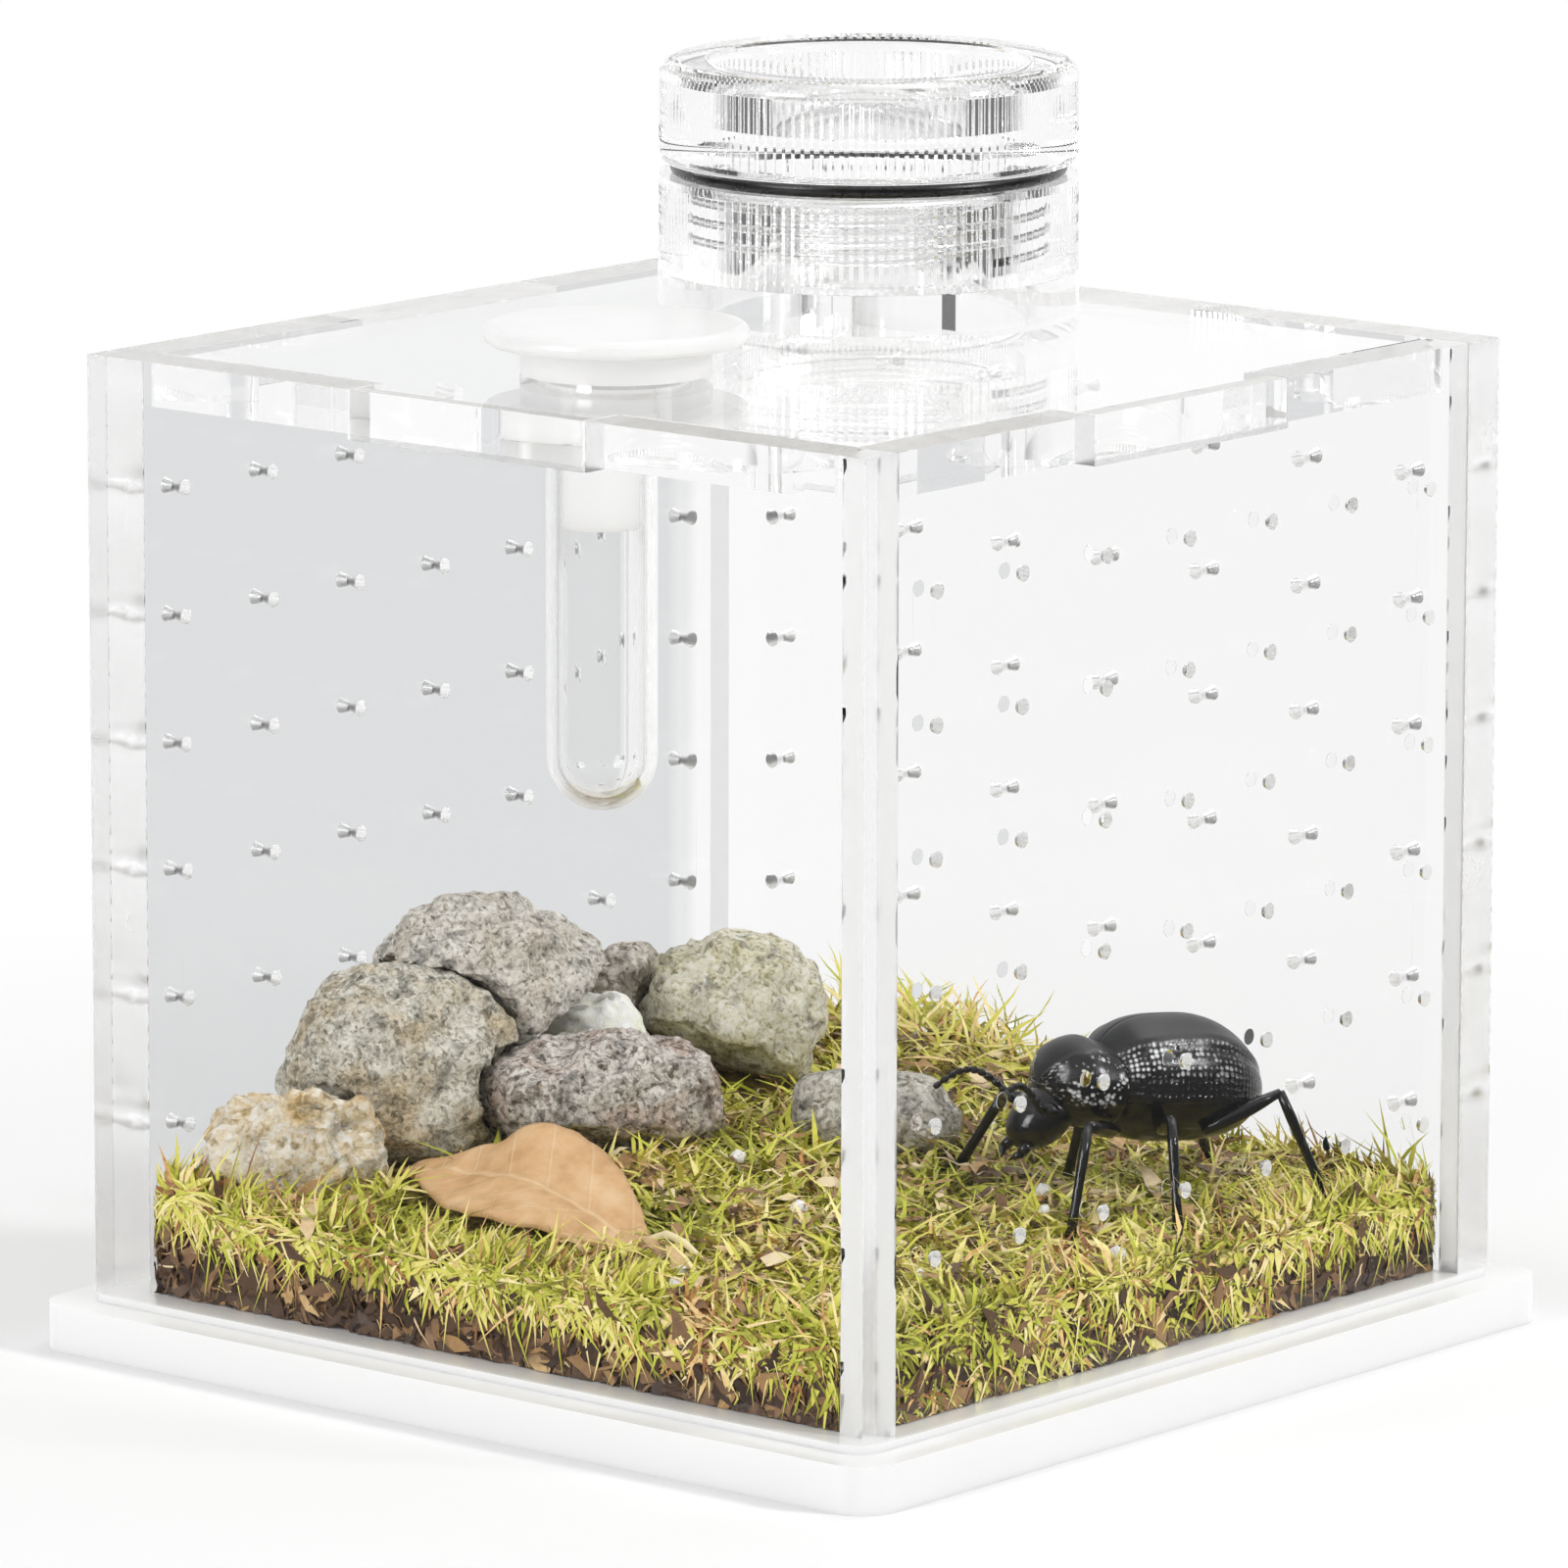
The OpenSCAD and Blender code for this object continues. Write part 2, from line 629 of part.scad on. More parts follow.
module port_cap() {
    r = port_d / 2;
    color("azure", 0.5) translate([port_x, port_y, cap_z]) difference() {
        union() {
            cylinder(r = r - rib_depth, h = rib_lip);
            translate([0, 0, rib_lip]) ribbed_bar(r, cap_h - cap_edge - rib_lip);
            translate([0, 0, cap_h - cap_edge]) rotate_extrude()
                polygon(concat([[0, 0]], arc([r - cap_edge, 0], cap_edge, 0, 90), [[0, cap_edge]]));
            translate([0, 0, -ring_h / 2]) cylinder(r = shoulder_r, h = ring_h / 2);
            translate([0, 0, -skirt_h]) cylinder(r = skirt_r, h = skirt_h);
        }
        translate([0, 0, cap_h - dish_depth]) cylinder(r = dish_r, h = dish_depth + 1);
        translate([0, 0, -skirt_h - 1]) cylinder(r = skirt_r - skirt_wall, h = skirt_h + 1);
    }
}

module tube_stopper() {
    head_r = head_d / 2;
    edge = head_t / 2;
    color("white") translate([tube_x, tube_y, rim_z]) {
        translate([0, 0, neck_h]) rotate_extrude()
            polygon(concat([[0, 0]], arc([head_r - edge, edge], edge, -90, 90), [[0, head_t]]));
        cylinder(d = neck_d, h = neck_h);
        translate([0, 0, -lid_t]) cylinder(d = plug_d, h = lid_t);
        translate([0, 0, -lid_t - nose_len])
            cylinder(r = tube_d / 2 - tube_wall - plug_gap, h = nose_len);
    }
}

module water_tube() {
    r = tube_d / 2;
    straight = tube_len - r;
    color("lightblue", 0.5) translate([tube_x, tube_y, lid_z - straight]) difference() {
        union() {
            cylinder(r = r, h = straight);
            sphere(r);
        }
        cylinder(r = r - tube_wall, h = straight + 1);
        sphere(r - tube_wall);
    }
}

// Landscape

module litter_bed() {
    color("saddlebrown") bed_layer(function (u, v) floor_z, function (u, v) litter_top(u, v));
}

module moss_carpet() {
    color("olivedrab") difference() {
        bed_layer(function (u, v) litter_top(u, v), function (u, v) moss_top(u, v));
        for (i = [0 : len(STONES) - 1]) stone_form(i, bed_gap);
        leaf_form(bed_gap);
        for (side = [-1, 1], k = [0 : 2]) leg_form(side, k, bed_gap);
    }
}

module stone_speckled() { color("rosybrown") stone(0); }
module stone_tan() { color("burlywood") stone(1); }
module stone_olive() { color("darkkhaki") stone(2); }
module stone_blue() { color("lightslategray") stone(3); }
module stone_grey() { color("gray") stone(4); }
module stone_pale() { color("beige") stone(5); }
module stone_dark() { color("dimgray") stone(6); }
module stone_top() { color("slategray") stone(7); }

module dry_leaf() {
    color("peru") difference() {
        leaf_form();
        for (i = [0 : len(STONES) - 1]) stone_form(i, bed_gap);
    }
}

module beetle_wing_left() { color("black") in_beetle() wing_case(1); }
module beetle_wing_right() { color("black") in_beetle() wing_case(-1); }

module beetle_belly() {
    color("black") in_beetle() difference() {
        wing_dome();
        translate([-wing_len * 2, -beetle_w * 2, flank_z - body_gap])
            cube([wing_len * 4, beetle_w * 4, beetle_h * 4]);
        thorax_form(body_gap);
    }
}

module beetle_thorax() { color("black") in_beetle() thorax_form(); }

module beetle_head() {
    color("black") in_beetle() difference() {
        head_form();
        thorax_form(body_gap);
    }
}

module beetle_feeler_left() { color("black") feeler(1); }
module beetle_feeler_right() { color("black") feeler(-1); }

module beetle_leg_front_left() { color("black") leg(1, 0); }
module beetle_leg_mid_left() { color("black") leg(1, 1); }
module beetle_leg_hind_left() { color("black") leg(1, 2); }
module beetle_leg_front_right() { color("black") leg(-1, 0); }
module beetle_leg_mid_right() { color("black") leg(-1, 1); }
module beetle_leg_hind_right() { color("black") leg(-1, 2); }

base_plate();
floor_panel();
front_wall();
rear_wall();
left_wall();
right_wall();
lid_panel();
port_collar();
port_ring();
port_cap();
tube_stopper();
water_tube();
litter_bed();
moss_carpet();
stone_speckled();
stone_tan();
stone_olive();
stone_blue();
stone_grey();
stone_pale();
stone_dark();
stone_top();
dry_leaf();
beetle_wing_left();
beetle_wing_right();
beetle_belly();
beetle_thorax();
beetle_head();
beetle_feeler_left();
beetle_feeler_right();
beetle_leg_front_left();
beetle_leg_mid_left();
beetle_leg_hind_left();
beetle_leg_front_right();
beetle_leg_mid_right();
beetle_leg_hind_right();
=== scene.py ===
"""Looks of the acrylic terrarium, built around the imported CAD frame. Metres, +Z up."""

import math
import random

import bmesh
import bpy
from mathutils import Matrix, Vector, noise
from mathutils.bvhtree import BVHTree


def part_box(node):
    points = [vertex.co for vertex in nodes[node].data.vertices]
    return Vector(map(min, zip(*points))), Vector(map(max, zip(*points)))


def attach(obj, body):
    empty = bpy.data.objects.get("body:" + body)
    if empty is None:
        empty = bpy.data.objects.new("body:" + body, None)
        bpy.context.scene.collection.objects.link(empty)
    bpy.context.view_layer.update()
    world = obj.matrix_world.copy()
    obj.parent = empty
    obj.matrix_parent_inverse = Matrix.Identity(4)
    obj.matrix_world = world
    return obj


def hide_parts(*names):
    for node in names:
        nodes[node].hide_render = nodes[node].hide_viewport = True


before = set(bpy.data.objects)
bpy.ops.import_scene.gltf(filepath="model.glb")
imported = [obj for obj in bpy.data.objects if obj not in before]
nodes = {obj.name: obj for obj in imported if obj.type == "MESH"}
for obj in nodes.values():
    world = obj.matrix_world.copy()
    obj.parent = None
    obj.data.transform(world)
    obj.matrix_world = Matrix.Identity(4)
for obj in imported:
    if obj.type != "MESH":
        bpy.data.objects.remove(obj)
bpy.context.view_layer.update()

MM = 0.001
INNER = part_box("right_wall")[0][0]       # from the box's middle to the inside of a wall
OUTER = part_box("right_wall")[1][0]       # and to its outside
PRESS = INNER - 0.2 * MM                 # what grows against a wall is pressed flat here
BED_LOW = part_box("litter_bed")[0][2]
LID_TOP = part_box("lid_panel")[1][2]
VENTS_MIDDLE, VENTS_REACH = 50 * MM, 43 * MM   # the air holes lie this near to the middle of their wall
ACRYLIC_IOR = 1.49
SEED = 7
dice = random.Random(SEED)
noise.seed_set(SEED)                     # else its vectors follow the clock


# Material helpers

def colour(code):
    """Linear colour of an sRGB hex value."""
    parts = [int(code[i:i + 2], 16) / 255 for i in (1, 3, 5)]
    return (*(c / 12.92 if c <= 0.04045 else ((c + 0.055) / 1.055) ** 2.4 for c in parts), 1)


def add(tree, kind, links=None, stops=(), **settings):
    """Adds one shader node. links gives its inputs by name or number, each a value, or the socket or node that
    feeds it, and stops a colour ramp's positions and colours."""
    made = tree.nodes.new("ShaderNode" + kind)
    for name, value in settings.items():
        setattr(made, name, value)
    for name, value in (links or {}).items():
        if isinstance(value, bpy.types.Node):
            value = value.outputs[0]
        if isinstance(value, bpy.types.NodeSocket):
            tree.links.new(value, made.inputs[name])
        else:
            made.inputs[name].default_value = value
    for number, (at, code) in enumerate(stops):
        points = made.color_ramp.elements
        point = points[number] if number < len(points) else points.new(1)
        point.position = at
        point.color = colour(code)
    return made


def start(name):
    """A new empty node material, its tree and its Object coordinates."""
    mat = bpy.data.materials.new(name)
    mat.use_nodes = True
    tree = mat.node_tree
    tree.nodes.clear()
    return mat, tree, add(tree, "TexCoord").outputs["Object"]


# Clear and white plastics, glass and rubber

def clear_plastic(name, tint, ior, rough, scuff, mirror, through=None, painted_shade_ends=None, milky_edge=False,
                  burnt_rim=None):
    """Clear polished plastic or glass. Lamps and soft light pass straight through, so what is inside is lit.
    mirror scales the faint image that it mirrors where it is looked at squarely, and through is the axis across
    a plate. Its tint ends at painted_shade_ends, and its air holes are frosted as deep as burnt_rim. On the
    shaded wall the grey tint is painted shade."""
    mat, tree, place = start(name)
    # Hairline scuffs from wiping, about 3 mm long: faint dull streaks in the gloss
    streak = add(tree, "Mapping", {"Vector": place, "Scale": (1, 0.35, 0.2), "Rotation": (0.5, 0.3, 0.7)})
    wear = add(tree, "TexNoise", {"Vector": streak, "Scale": 1 / (3 * MM), "Detail": 3.0})
    dull = add(tree, "MapRange", {"Value": wear, "From Min": 0.62, "From Max": 0.8, "To Min": rough,
                                  "To Max": rough + scuff})
    tone = colour(tint)
    axes = add(tree, "SeparateXYZ", {0: place})
    if painted_shade_ends is not None:
        # The plate's tint, painted shade on the shaded wall, thins out towards its rear edge
        painted_shade_thins = add(tree, "MapRange", {"Value": axes.outputs["Y"], "From Min": painted_shade_ends - 2 * MM,
                                       "From Max": painted_shade_ends})
        tone = add(tree, "Mix", {0: painted_shade_thins, 6: tone, 7: colour("#FEFEFE")}, data_type="RGBA").outputs[2]
    if through:
        # Laser and saw leave the air holes and the plate's edges frosted and pale: all within its thickness
        out_by = add(tree, "Math", {0: axes.outputs[through]}, operation="ABSOLUTE")
        cut_face = add(tree, "Math", {0: out_by, 1: (INNER + OUTER) / 2, 2: (OUTER - INNER) / 2 - 0.1 * MM},
                       operation="COMPARE")
        dull = add(tree, "Math", {0: cut_face, 1: 0.25, 2: dull}, operation="MULTIPLY_ADD")
        tone = add(tree, "Mix", {0: cut_face, 6: tone, 7: colour("#FEFEFE")}, data_type="RGBA").outputs[2]
    clear = 1.0
    if milky_edge:
        # Looked along its skin, it is a little milky
        glance = add(tree, "LayerWeight", {"Blend": 0.5})
        clear = add(tree, "MapRange", {"Value": glance.outputs["Facing"], "From Min": 0.3, "From Max": 0.9,
                                       "To Min": 0.97, "To Max": 0.3})
    body = add(tree, "BsdfPrincipled", {"Base Color": tone, "IOR": ior, "Transmission Weight": clear,
                                        "Roughness": dull, "Specular Tint": (mirror, mirror, mirror, 1)})
    path = add(tree, "LightPath")
    passing = add(tree, "Math", {0: path.outputs["Is Shadow Ray"], 1: path.outputs["Is Diffuse Ray"]},
                  operation="MAXIMUM")
    if burnt_rim:
        # Past their burnt rim at the outer face, the air holes are polished by the laser and hardly show
        deep = add(tree, "Math", {0: out_by, 1: OUTER - burnt_rim}, operation="LESS_THAN")
        level = add(tree, "Math", {0: axes.outputs["Z"], 1: VENTS_MIDDLE, 2: VENTS_REACH}, operation="COMPARE")
        along = add(tree, "Math", {0: axes.outputs["Y" if through == "X" else "X"], 1: 0, 2: VENTS_REACH},
                    operation="COMPARE")
        bore = cut_face
        for share in (deep, level, along):
            bore = add(tree, "Math", {0: bore, 1: share}, operation="MULTIPLY")
        passing = add(tree, "Math", {0: passing, 1: bore}, operation="MAXIMUM")
    passed = add(tree, "BsdfTransparent")
    mix = add(tree, "MixShader", {0: passing, 1: body, 2: passed})
    add(tree, "OutputMaterial", {"Surface": mix})
    return mat


def milky_plastic(name, tint, clear=0.0, sink=0.25, sink_mm=1.5):
    """White plastic: an even white that light sinks into, sink_mm deep, with a polished face."""
    mat, tree, place = start(name)
    cloud = add(tree, "TexNoise", {"Vector": place, "Scale": 1 / (14 * MM), "Detail": 2.0})
    gloss = add(tree, "MapRange", {"Value": cloud, "To Min": 0.16, "To Max": 0.3})
    body = add(tree, "BsdfPrincipled", {"Base Color": colour(tint), "Roughness": gloss, "IOR": ACRYLIC_IOR,
                                        "Transmission Weight": clear, "Subsurface Weight": sink,
                                        "Subsurface Radius": (1, 1, 1), "Subsurface Scale": sink_mm * MM})
    add(tree, "OutputMaterial", {"Surface": body})
    return mat


def rubber(name):
    """Black moulded seal rubber: a soft gloss with a faint bloom."""
    mat, tree, place = start(name)
    bloom = add(tree, "TexNoise", {"Vector": place, "Scale": 1 / (1.5 * MM), "Detail": 3.0})
    tint = add(tree, "ValToRGB", {0: bloom}, [(0.3, "#070707"), (0.8, "#151515")])
    gloss = add(tree, "MapRange", {"Value": bloom, "To Min": 0.18, "To Max": 0.4})
    body = add(tree, "BsdfPrincipled", {"Base Color": tint, "Roughness": gloss, "IOR": 1.52})
    add(tree, "OutputMaterial", {"Surface": body})
    return mat


ACRYLIC = {"ior": ACRYLIC_IOR, "rough": 0.0, "scuff": 0.05, "mirror": 0.15}
lid_acrylic = clear_plastic("cast_acrylic", "#FEFEFE", **ACRYLIC)
long_acrylic = clear_plastic("cast_acrylic_across_y", "#FEFEFE", **ACRYLIC, through="Y")
side_acrylic = clear_plastic("cast_acrylic_across_x", "#FEFEFE", **ACRYLIC, through="X", burnt_rim=0.9 * MM)
# The wall on the shaded side: a pale grey tint against the white, which is painted shade
painted_shade_acrylic = clear_plastic("cast_acrylic_painted_shade", "#E4E5E6", **ACRYLIC, through="X", painted_shade_ends=40 * MM)
port_plastic = clear_plastic("moulded_polystyrene", "#FDFDFD", ior=1.55, rough=0.02, scuff=0.03, mirror=1.0)
tube_glass = clear_plastic("test_tube_glass", "#FEFEFE", ior=1.5, rough=0.0, scuff=0.02, mirror=0.6,
                           milky_edge=True)
white_acrylic = milky_plastic("milky_acrylic", "#F2F2F2")
glue_film = milky_plastic("acrylic_glue_film", "#FCFCFC")
stopper_plastic = milky_plastic("frosted_polythene", "#FAFAFA", clear=0.12, sink=0.8, sink_mm=6)

CAD_LOOKS = {"front_wall": long_acrylic, "rear_wall": long_acrylic, "left_wall": painted_shade_acrylic,
             "right_wall": side_acrylic, "lid_panel": lid_acrylic, "port_collar": port_plastic,
             "port_cap": port_plastic, "port_ring": rubber("seal_rubber"), "tube_stopper": stopper_plastic,
             "water_tube": tube_glass, "base_plate": white_acrylic, "floor_panel": white_acrylic}
for node, mat in CAD_LOOKS.items():
    nodes[node].data.materials.clear()
    nodes[node].data.materials.append(mat)

# Plates that are glued overlap by a hair, so that light crosses the joint as in one piece
HAIR = 0.03 * MM
for name in ("front_wall", "rear_wall", "left_wall", "right_wall", "lid_panel", "port_collar", "floor_panel"):
    weld = nodes[name].modifiers.new("weld", "WELD")
    weld.merge_threshold = HAIR / 10
    outset = nodes[name].modifiers.new("outset", "DISPLACE")
    outset.strength = HAIR
    outset.mid_level = 0


# Mesh helpers

def piece(name, bm, mat, body, replaced=()):
    """Finishes a bmesh as a smooth object that rides on a body."""
    for face in bm.faces:
        face.smooth = True
    data = bpy.data.meshes.new(name)
    bm.to_mesh(data)
    bm.free()
    data.materials.append(mat)
    made = bpy.data.objects.new(name, data)
    bpy.context.scene.collection.objects.link(made)
    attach(made, body)
    if replaced:
        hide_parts(*replaced)


def copy_of(*names):
    """Merged copy of CAD nodes."""
    bm = bmesh.new()
    for name in names:
        bm.from_mesh(nodes[name].data)
    bmesh.ops.remove_doubles(bm, verts=bm.verts[:], dist=0.001 * MM)
    return bm


def tree_of(*names):
    """Search tree over CAD nodes."""
    bm = copy_of(*names)
    made = BVHTree.FromBMesh(bm)
    bm.free()
    return made


def press(bm, inset=0.0):
    """Keeps what grows inside the box behind its walls and above its floor. What comes near a wall is
    squeezed towards it by degrees, so that what lay in front stays in front."""
    squeeze = 0.8 * MM
    for v in bm.verts:
        for axis in (0, 1):
            past = abs(v.co[axis]) - (PRESS - inset - squeeze)
            if past > 0:
                v.co[axis] = math.copysign(PRESS - inset - squeeze * math.exp(-past / squeeze), v.co[axis])
        v.co.z = max(BED_LOW + 0.1 * MM, v.co.z)


DOWN = Vector((0, 0, -1))
STONE_NODES = ["stone_speckled", "stone_tan", "stone_olive", "stone_blue",
               "stone_grey", "stone_pale", "stone_dark", "stone_top"]
moss_tree = tree_of("moss_carpet")
stone_tree = tree_of(*STONE_NODES)
leaf_tree = tree_of("dry_leaf")


def drop(tree, x, y):
    """Point and normal where a plumb line at x, y first meets a search tree's surface, or None twice."""
    return tree.ray_cast(Vector((x, y, LID_TOP)), DOWN)[:2]


def moss_height(x, y):
    """Height of the bare moss at x, y."""
    return drop(moss_tree, x, y)[0].z


# The beetle's own frame, +X ahead, at the middle of its wing cases, and where its feet stand, front to hind

WING = Vector((20, 13, 13)) * MM
BEETLE_AT = Vector((28.93, 21.3)) * MM
BEETLE_CLEAR = 6.2 * MM
BEETLE_TURN, BEETLE_PITCH = math.radians(250), math.radians(-5)
beetle_z = moss_height(*BEETLE_AT) + BEETLE_CLEAR + WING.z / 2
beetle_frame = (Matrix.Translation((*BEETLE_AT, beetle_z)) @ Matrix.Rotation(BEETLE_TURN, 4, "Z")
                @ Matrix.Rotation(BEETLE_PITCH, 4, "Y"))
FEET = {"left": [Vector((21, 12.5, 0)) * MM, Vector((8, 15, 0)) * MM, Vector((-17, 8, 0)) * MM],
        "right": [Vector((19, -15, 0)) * MM, Vector((8.5, -8.5, 0)) * MM, Vector((-11.5, -8.5, 0)) * MM]}
foot_spots = [(beetle_frame @ foot).to_2d() for feet in FEET.values() for foot in feet]


# Glue films at both ends of the right wall: milky, with an uneven inner edge

WALL_LOW, WALL_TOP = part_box("right_wall")[0][2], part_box("right_wall")[1][2]
for name, way in (("front", -1), ("rear", 1)):
    bm = bmesh.new()
    bmesh.ops.create_grid(bm, x_segments=6, y_segments=60, size=1)
    for v in bm.verts:
        up = WALL_LOW + (WALL_TOP - WALL_LOW) * (v.co.y + 1) / 2
        ooze = 0.25 * MM * noise.noise(Vector((0, way * 9, up / (4 * MM))))
        v.co = (INNER + (OUTER - INNER) * (v.co.x + 1) / 2 + ooze * (1 - v.co.x) / 2, way * INNER, up)
    bmesh.ops.solidify(bm, geom=bm.faces[:], thickness=0.02 * MM)
    bmesh.ops.recalc_face_normals(bm, faces=bm.faces[:])
    piece(f"corner_glue_{name}", bm, glue_film, "box")


# Screw thread: a ridge on the cap's skirt, and one in the collar's bore half a pitch above it

PORT_AXIS = Vector((-9.7, 23, 0)) * MM
THREAD_PITCH = 2 * MM
SKIRT_R, BORE_R = 15.6 * MM, 16.2 * MM


def thread(name, body, root, crest, low, turns):
    """Right-hand ridge of triangular section round the port's axis."""
    bm = bmesh.new()
    half = 0.42 * MM
    corners = [bm.verts.new(co) for co in ((root, 0, low - half), (crest, 0, low - half / 4),
                                           (crest, 0, low + half / 4), (root, 0, low + half))]
    section = bm.faces.new(corners)
    steps = 40 * turns
    bmesh.ops.spin(bm, geom=[section], cent=(0, 0, 0), axis=(0, 0, 1), angle=2 * math.pi * turns, steps=steps,
                   dvec=(0, 0, THREAD_PITCH * turns / steps))
    bmesh.ops.remove_doubles(bm, verts=bm.verts[:], dist=0.001 * MM)
    bmesh.ops.recalc_face_normals(bm, faces=bm.faces[:])
    bmesh.ops.translate(bm, vec=PORT_AXIS, verts=bm.verts[:])
    piece(name, bm, port_plastic, body)


thread("cap_thread", "cap", SKIRT_R - 0.1 * MM, SKIRT_R + 0.4 * MM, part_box("port_cap")[0][2] + 1 * MM, 4)
thread("collar_thread", "lid", BORE_R + 0.1 * MM, BORE_R - 0.4 * MM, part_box("port_cap")[0][2] + 2 * MM, 3)


# Landscape: litter, moss and what lies on it

def plant(name, stops, root, gloss):
    """Moss and litter: each blade's shade picks its colour, and it darkens towards the root: painted shade where
    the blades crowd at their foot.
    """
    mat, tree, place = start(name)
    shade = add(tree, "Attribute", attribute_name="shade").outputs["Fac"]
    tip = add(tree, "Attribute", attribute_name="tip").outputs["Fac"]
    fleck = add(tree, "TexNoise", {"Vector": place, "Scale": 1 / (0.6 * MM), "Detail": 2.0})
    wander = add(tree, "Math", {0: fleck, 1: 0.2, 2: -0.1}, operation="MULTIPLY_ADD")
    pick = add(tree, "Math", {0: shade, 1: wander}, operation="ADD")
    tint = add(tree, "ValToRGB", {0: pick}, stops)
    # Painted shade: the lowest part of each blade takes the dark root colour
    clear_of_root_shade = add(tree, "MapRange", {"Value": tip, "From Max": 0.35})
    body_tint = add(tree, "Mix", {0: clear_of_root_shade, 6: colour(root), 7: tint}, data_type="RGBA")
    body = add(tree, "BsdfPrincipled", {"Base Color": body_tint.outputs[2], "Roughness": gloss,
                                        "Specular IOR Level": 0.35})
    add(tree, "OutputMaterial", {"Surface": body})
    return mat


def soil(name, stops, grain_mm):
    """Crumbly ground under the plants."""
    mat, tree, place = start(name)
    crumb = add(tree, "TexVoronoi", {"Vector": place, "Scale": 1 / (grain_mm * MM)})
    patch = add(tree, "TexNoise", {"Vector": place, "Scale": 1 / (2 * grain_mm * MM), "Detail": 5.0})
    blend = add(tree, "Math", {0: crumb.outputs["Distance"], 1: patch}, operation="MULTIPLY")
    tint = add(tree, "ValToRGB", {0: blend}, stops)
    bump = add(tree, "Bump", {"Height": crumb.outputs["Distance"], "Strength": 0.8, "Distance": grain_mm * MM})
    body = add(tree, "BsdfPrincipled", {"Base Color": tint, "Roughness": 0.85, "Normal": bump})
    add(tree, "OutputMaterial", {"Surface": body})
    return mat


def blade(bm, length, width, rise, curl, turn, rows):
    """Narrow pointed leaf from the origin, rising and then curling over, turned about Z."""
    tip = bm.verts.layers.float["tip"]
    made = bmesh.ops.create_grid(bm, x_segments=1, y_segments=rows, size=1)["verts"]
    for v in made:
        s = (v.co.y + 1) / 2
        v[tip] = s
        v.co = (v.co.x * width / 2 * (0.04 + (0.5 + 1.6 * s) * (1 - s ** 1.5)),
                length * (math.cos(rise) * s + curl * s * s),
                length * (math.sin(rise) * s - curl * s * s))
    bmesh.ops.rotate(bm, verts=made, cent=(0, 0, 0), matrix=Matrix.Rotation(turn, 3, "Z"))


def tuft(name, blades, length, width, rises, curl, rows=3):
    """Rosette of blades as a mesh to be repeated, rising from the first to the last angle. It has a shade for
    each blade, set when it is placed."""
    bm = bmesh.new()
    bm.verts.layers.float.new("tip")
    bm.verts.layers.float.new("shade")
    for k in range(blades):
        rise = math.radians(rises[0] + (rises[1] - rises[0]) * k / max(1, blades - 1))
        blade(bm, length * dice.uniform(0.75, 1.15), width, rise, curl * dice.uniform(0.6, 1.4), 2.4 * k, rows)
    data = bpy.data.meshes.new(name)
    bm.to_mesh(data)
    bm.free()
    data["blade_points"] = 2 * (rows + 1)
    return data


def grow(name, spots, mat, crumple):
    """One piece from many tufts. A spot is a tuft, its place, its upright direction, size, shade and spread of
    shade. crumple is how far its blades are bent out of true."""
    bm = bmesh.new()
    for data, place, up, size, shade, spread in spots:
        lean = up.to_track_quat("Z", "Y").to_matrix().to_4x4()
        turn = Matrix.Rotation(dice.uniform(0, 6.28), 4, "Z")
        matrix = Matrix.Translation(place) @ lean @ turn @ Matrix.Scale(size, 4)
        data.transform(matrix)
        shades = []
        while len(shades) < len(data.vertices):
            shades += [shade + dice.gauss(0, spread)] * data["blade_points"]
        data.attributes["shade"].data.foreach_set("value", shades)
        bm.from_mesh(data)
        data.transform(matrix.inverted())
    for v in bm.verts:
        v.co += crumple * noise.noise_vector(v.co / (1.8 * MM))
    press(bm)
    piece(name, bm, mat, "box")


MOSS_STOPS = [(0.0, "#7C7824"), (0.16, "#A0A232"), (0.32, "#C0C444"), (0.48, "#DCD660"), (0.62, "#EFE488"),
              (0.74, "#FAECB0"), (0.86, "#EFC98A"), (0.94, "#CB9658"), (1.0, "#96663A")]
LITTER_STOPS = [(0.0, "#3A2A20"), (0.3, "#5E4632"), (0.5, "#866648"), (0.7, "#AE8858"), (0.85, "#D8B884"),
                (1.0, "#F0DCB4")]
moss_leaf = plant("moss_leaf", MOSS_STOPS, "#6E6226", 0.42)
litter_leaf = plant("dead_leaf", LITTER_STOPS, "#4A3422", 0.5)
moss_peat = soil("moss_peat", [(0.0, "#3A2E16"), (0.15, "#6A5A28"), (0.4, "#A08E44")], 1.1)
leaf_mould = soil("leaf_mould", [(0.0, "#1E140C"), (0.12, "#3E2918"), (0.25, "#6A482C"), (0.45, "#96704A")], 1.2)

for node, mat, slot in (("moss_carpet", moss_peat, "moss"), ("litter_bed", leaf_mould, "litter")):
    bm = copy_of(node)
    bmesh.ops.subdivide_edges(bm, edges=bm.edges[:], cuts=1, use_grid_fill=True)
    for v in bm.verts:
        v.co += v.normal * 0.5 * MM * noise.noise(v.co / (1.6 * MM))
    press(bm, 0.9 * MM)
    piece(node + "_ground", bm, mat, "box", (node,))

star = tuft("star", blades=12, length=4.0 * MM, width=0.62 * MM, rises=(8, 74), curl=0.5)
flat_star = tuft("flat_star", blades=11, length=4.6 * MM, width=0.66 * MM, rises=(2, 48), curl=0.4)
leafy = tuft("leafy", blades=6, length=3.6 * MM, width=1.2 * MM, rises=(5, 40), curl=0.4)
wisp = tuft("wisp", blades=6, length=6 * MM, width=0.4 * MM, rises=(20, 70), curl=0.6)
strand = tuft("strand", blades=5, length=10 * MM, width=0.5 * MM, rises=(20, 62), curl=0.35, rows=6)


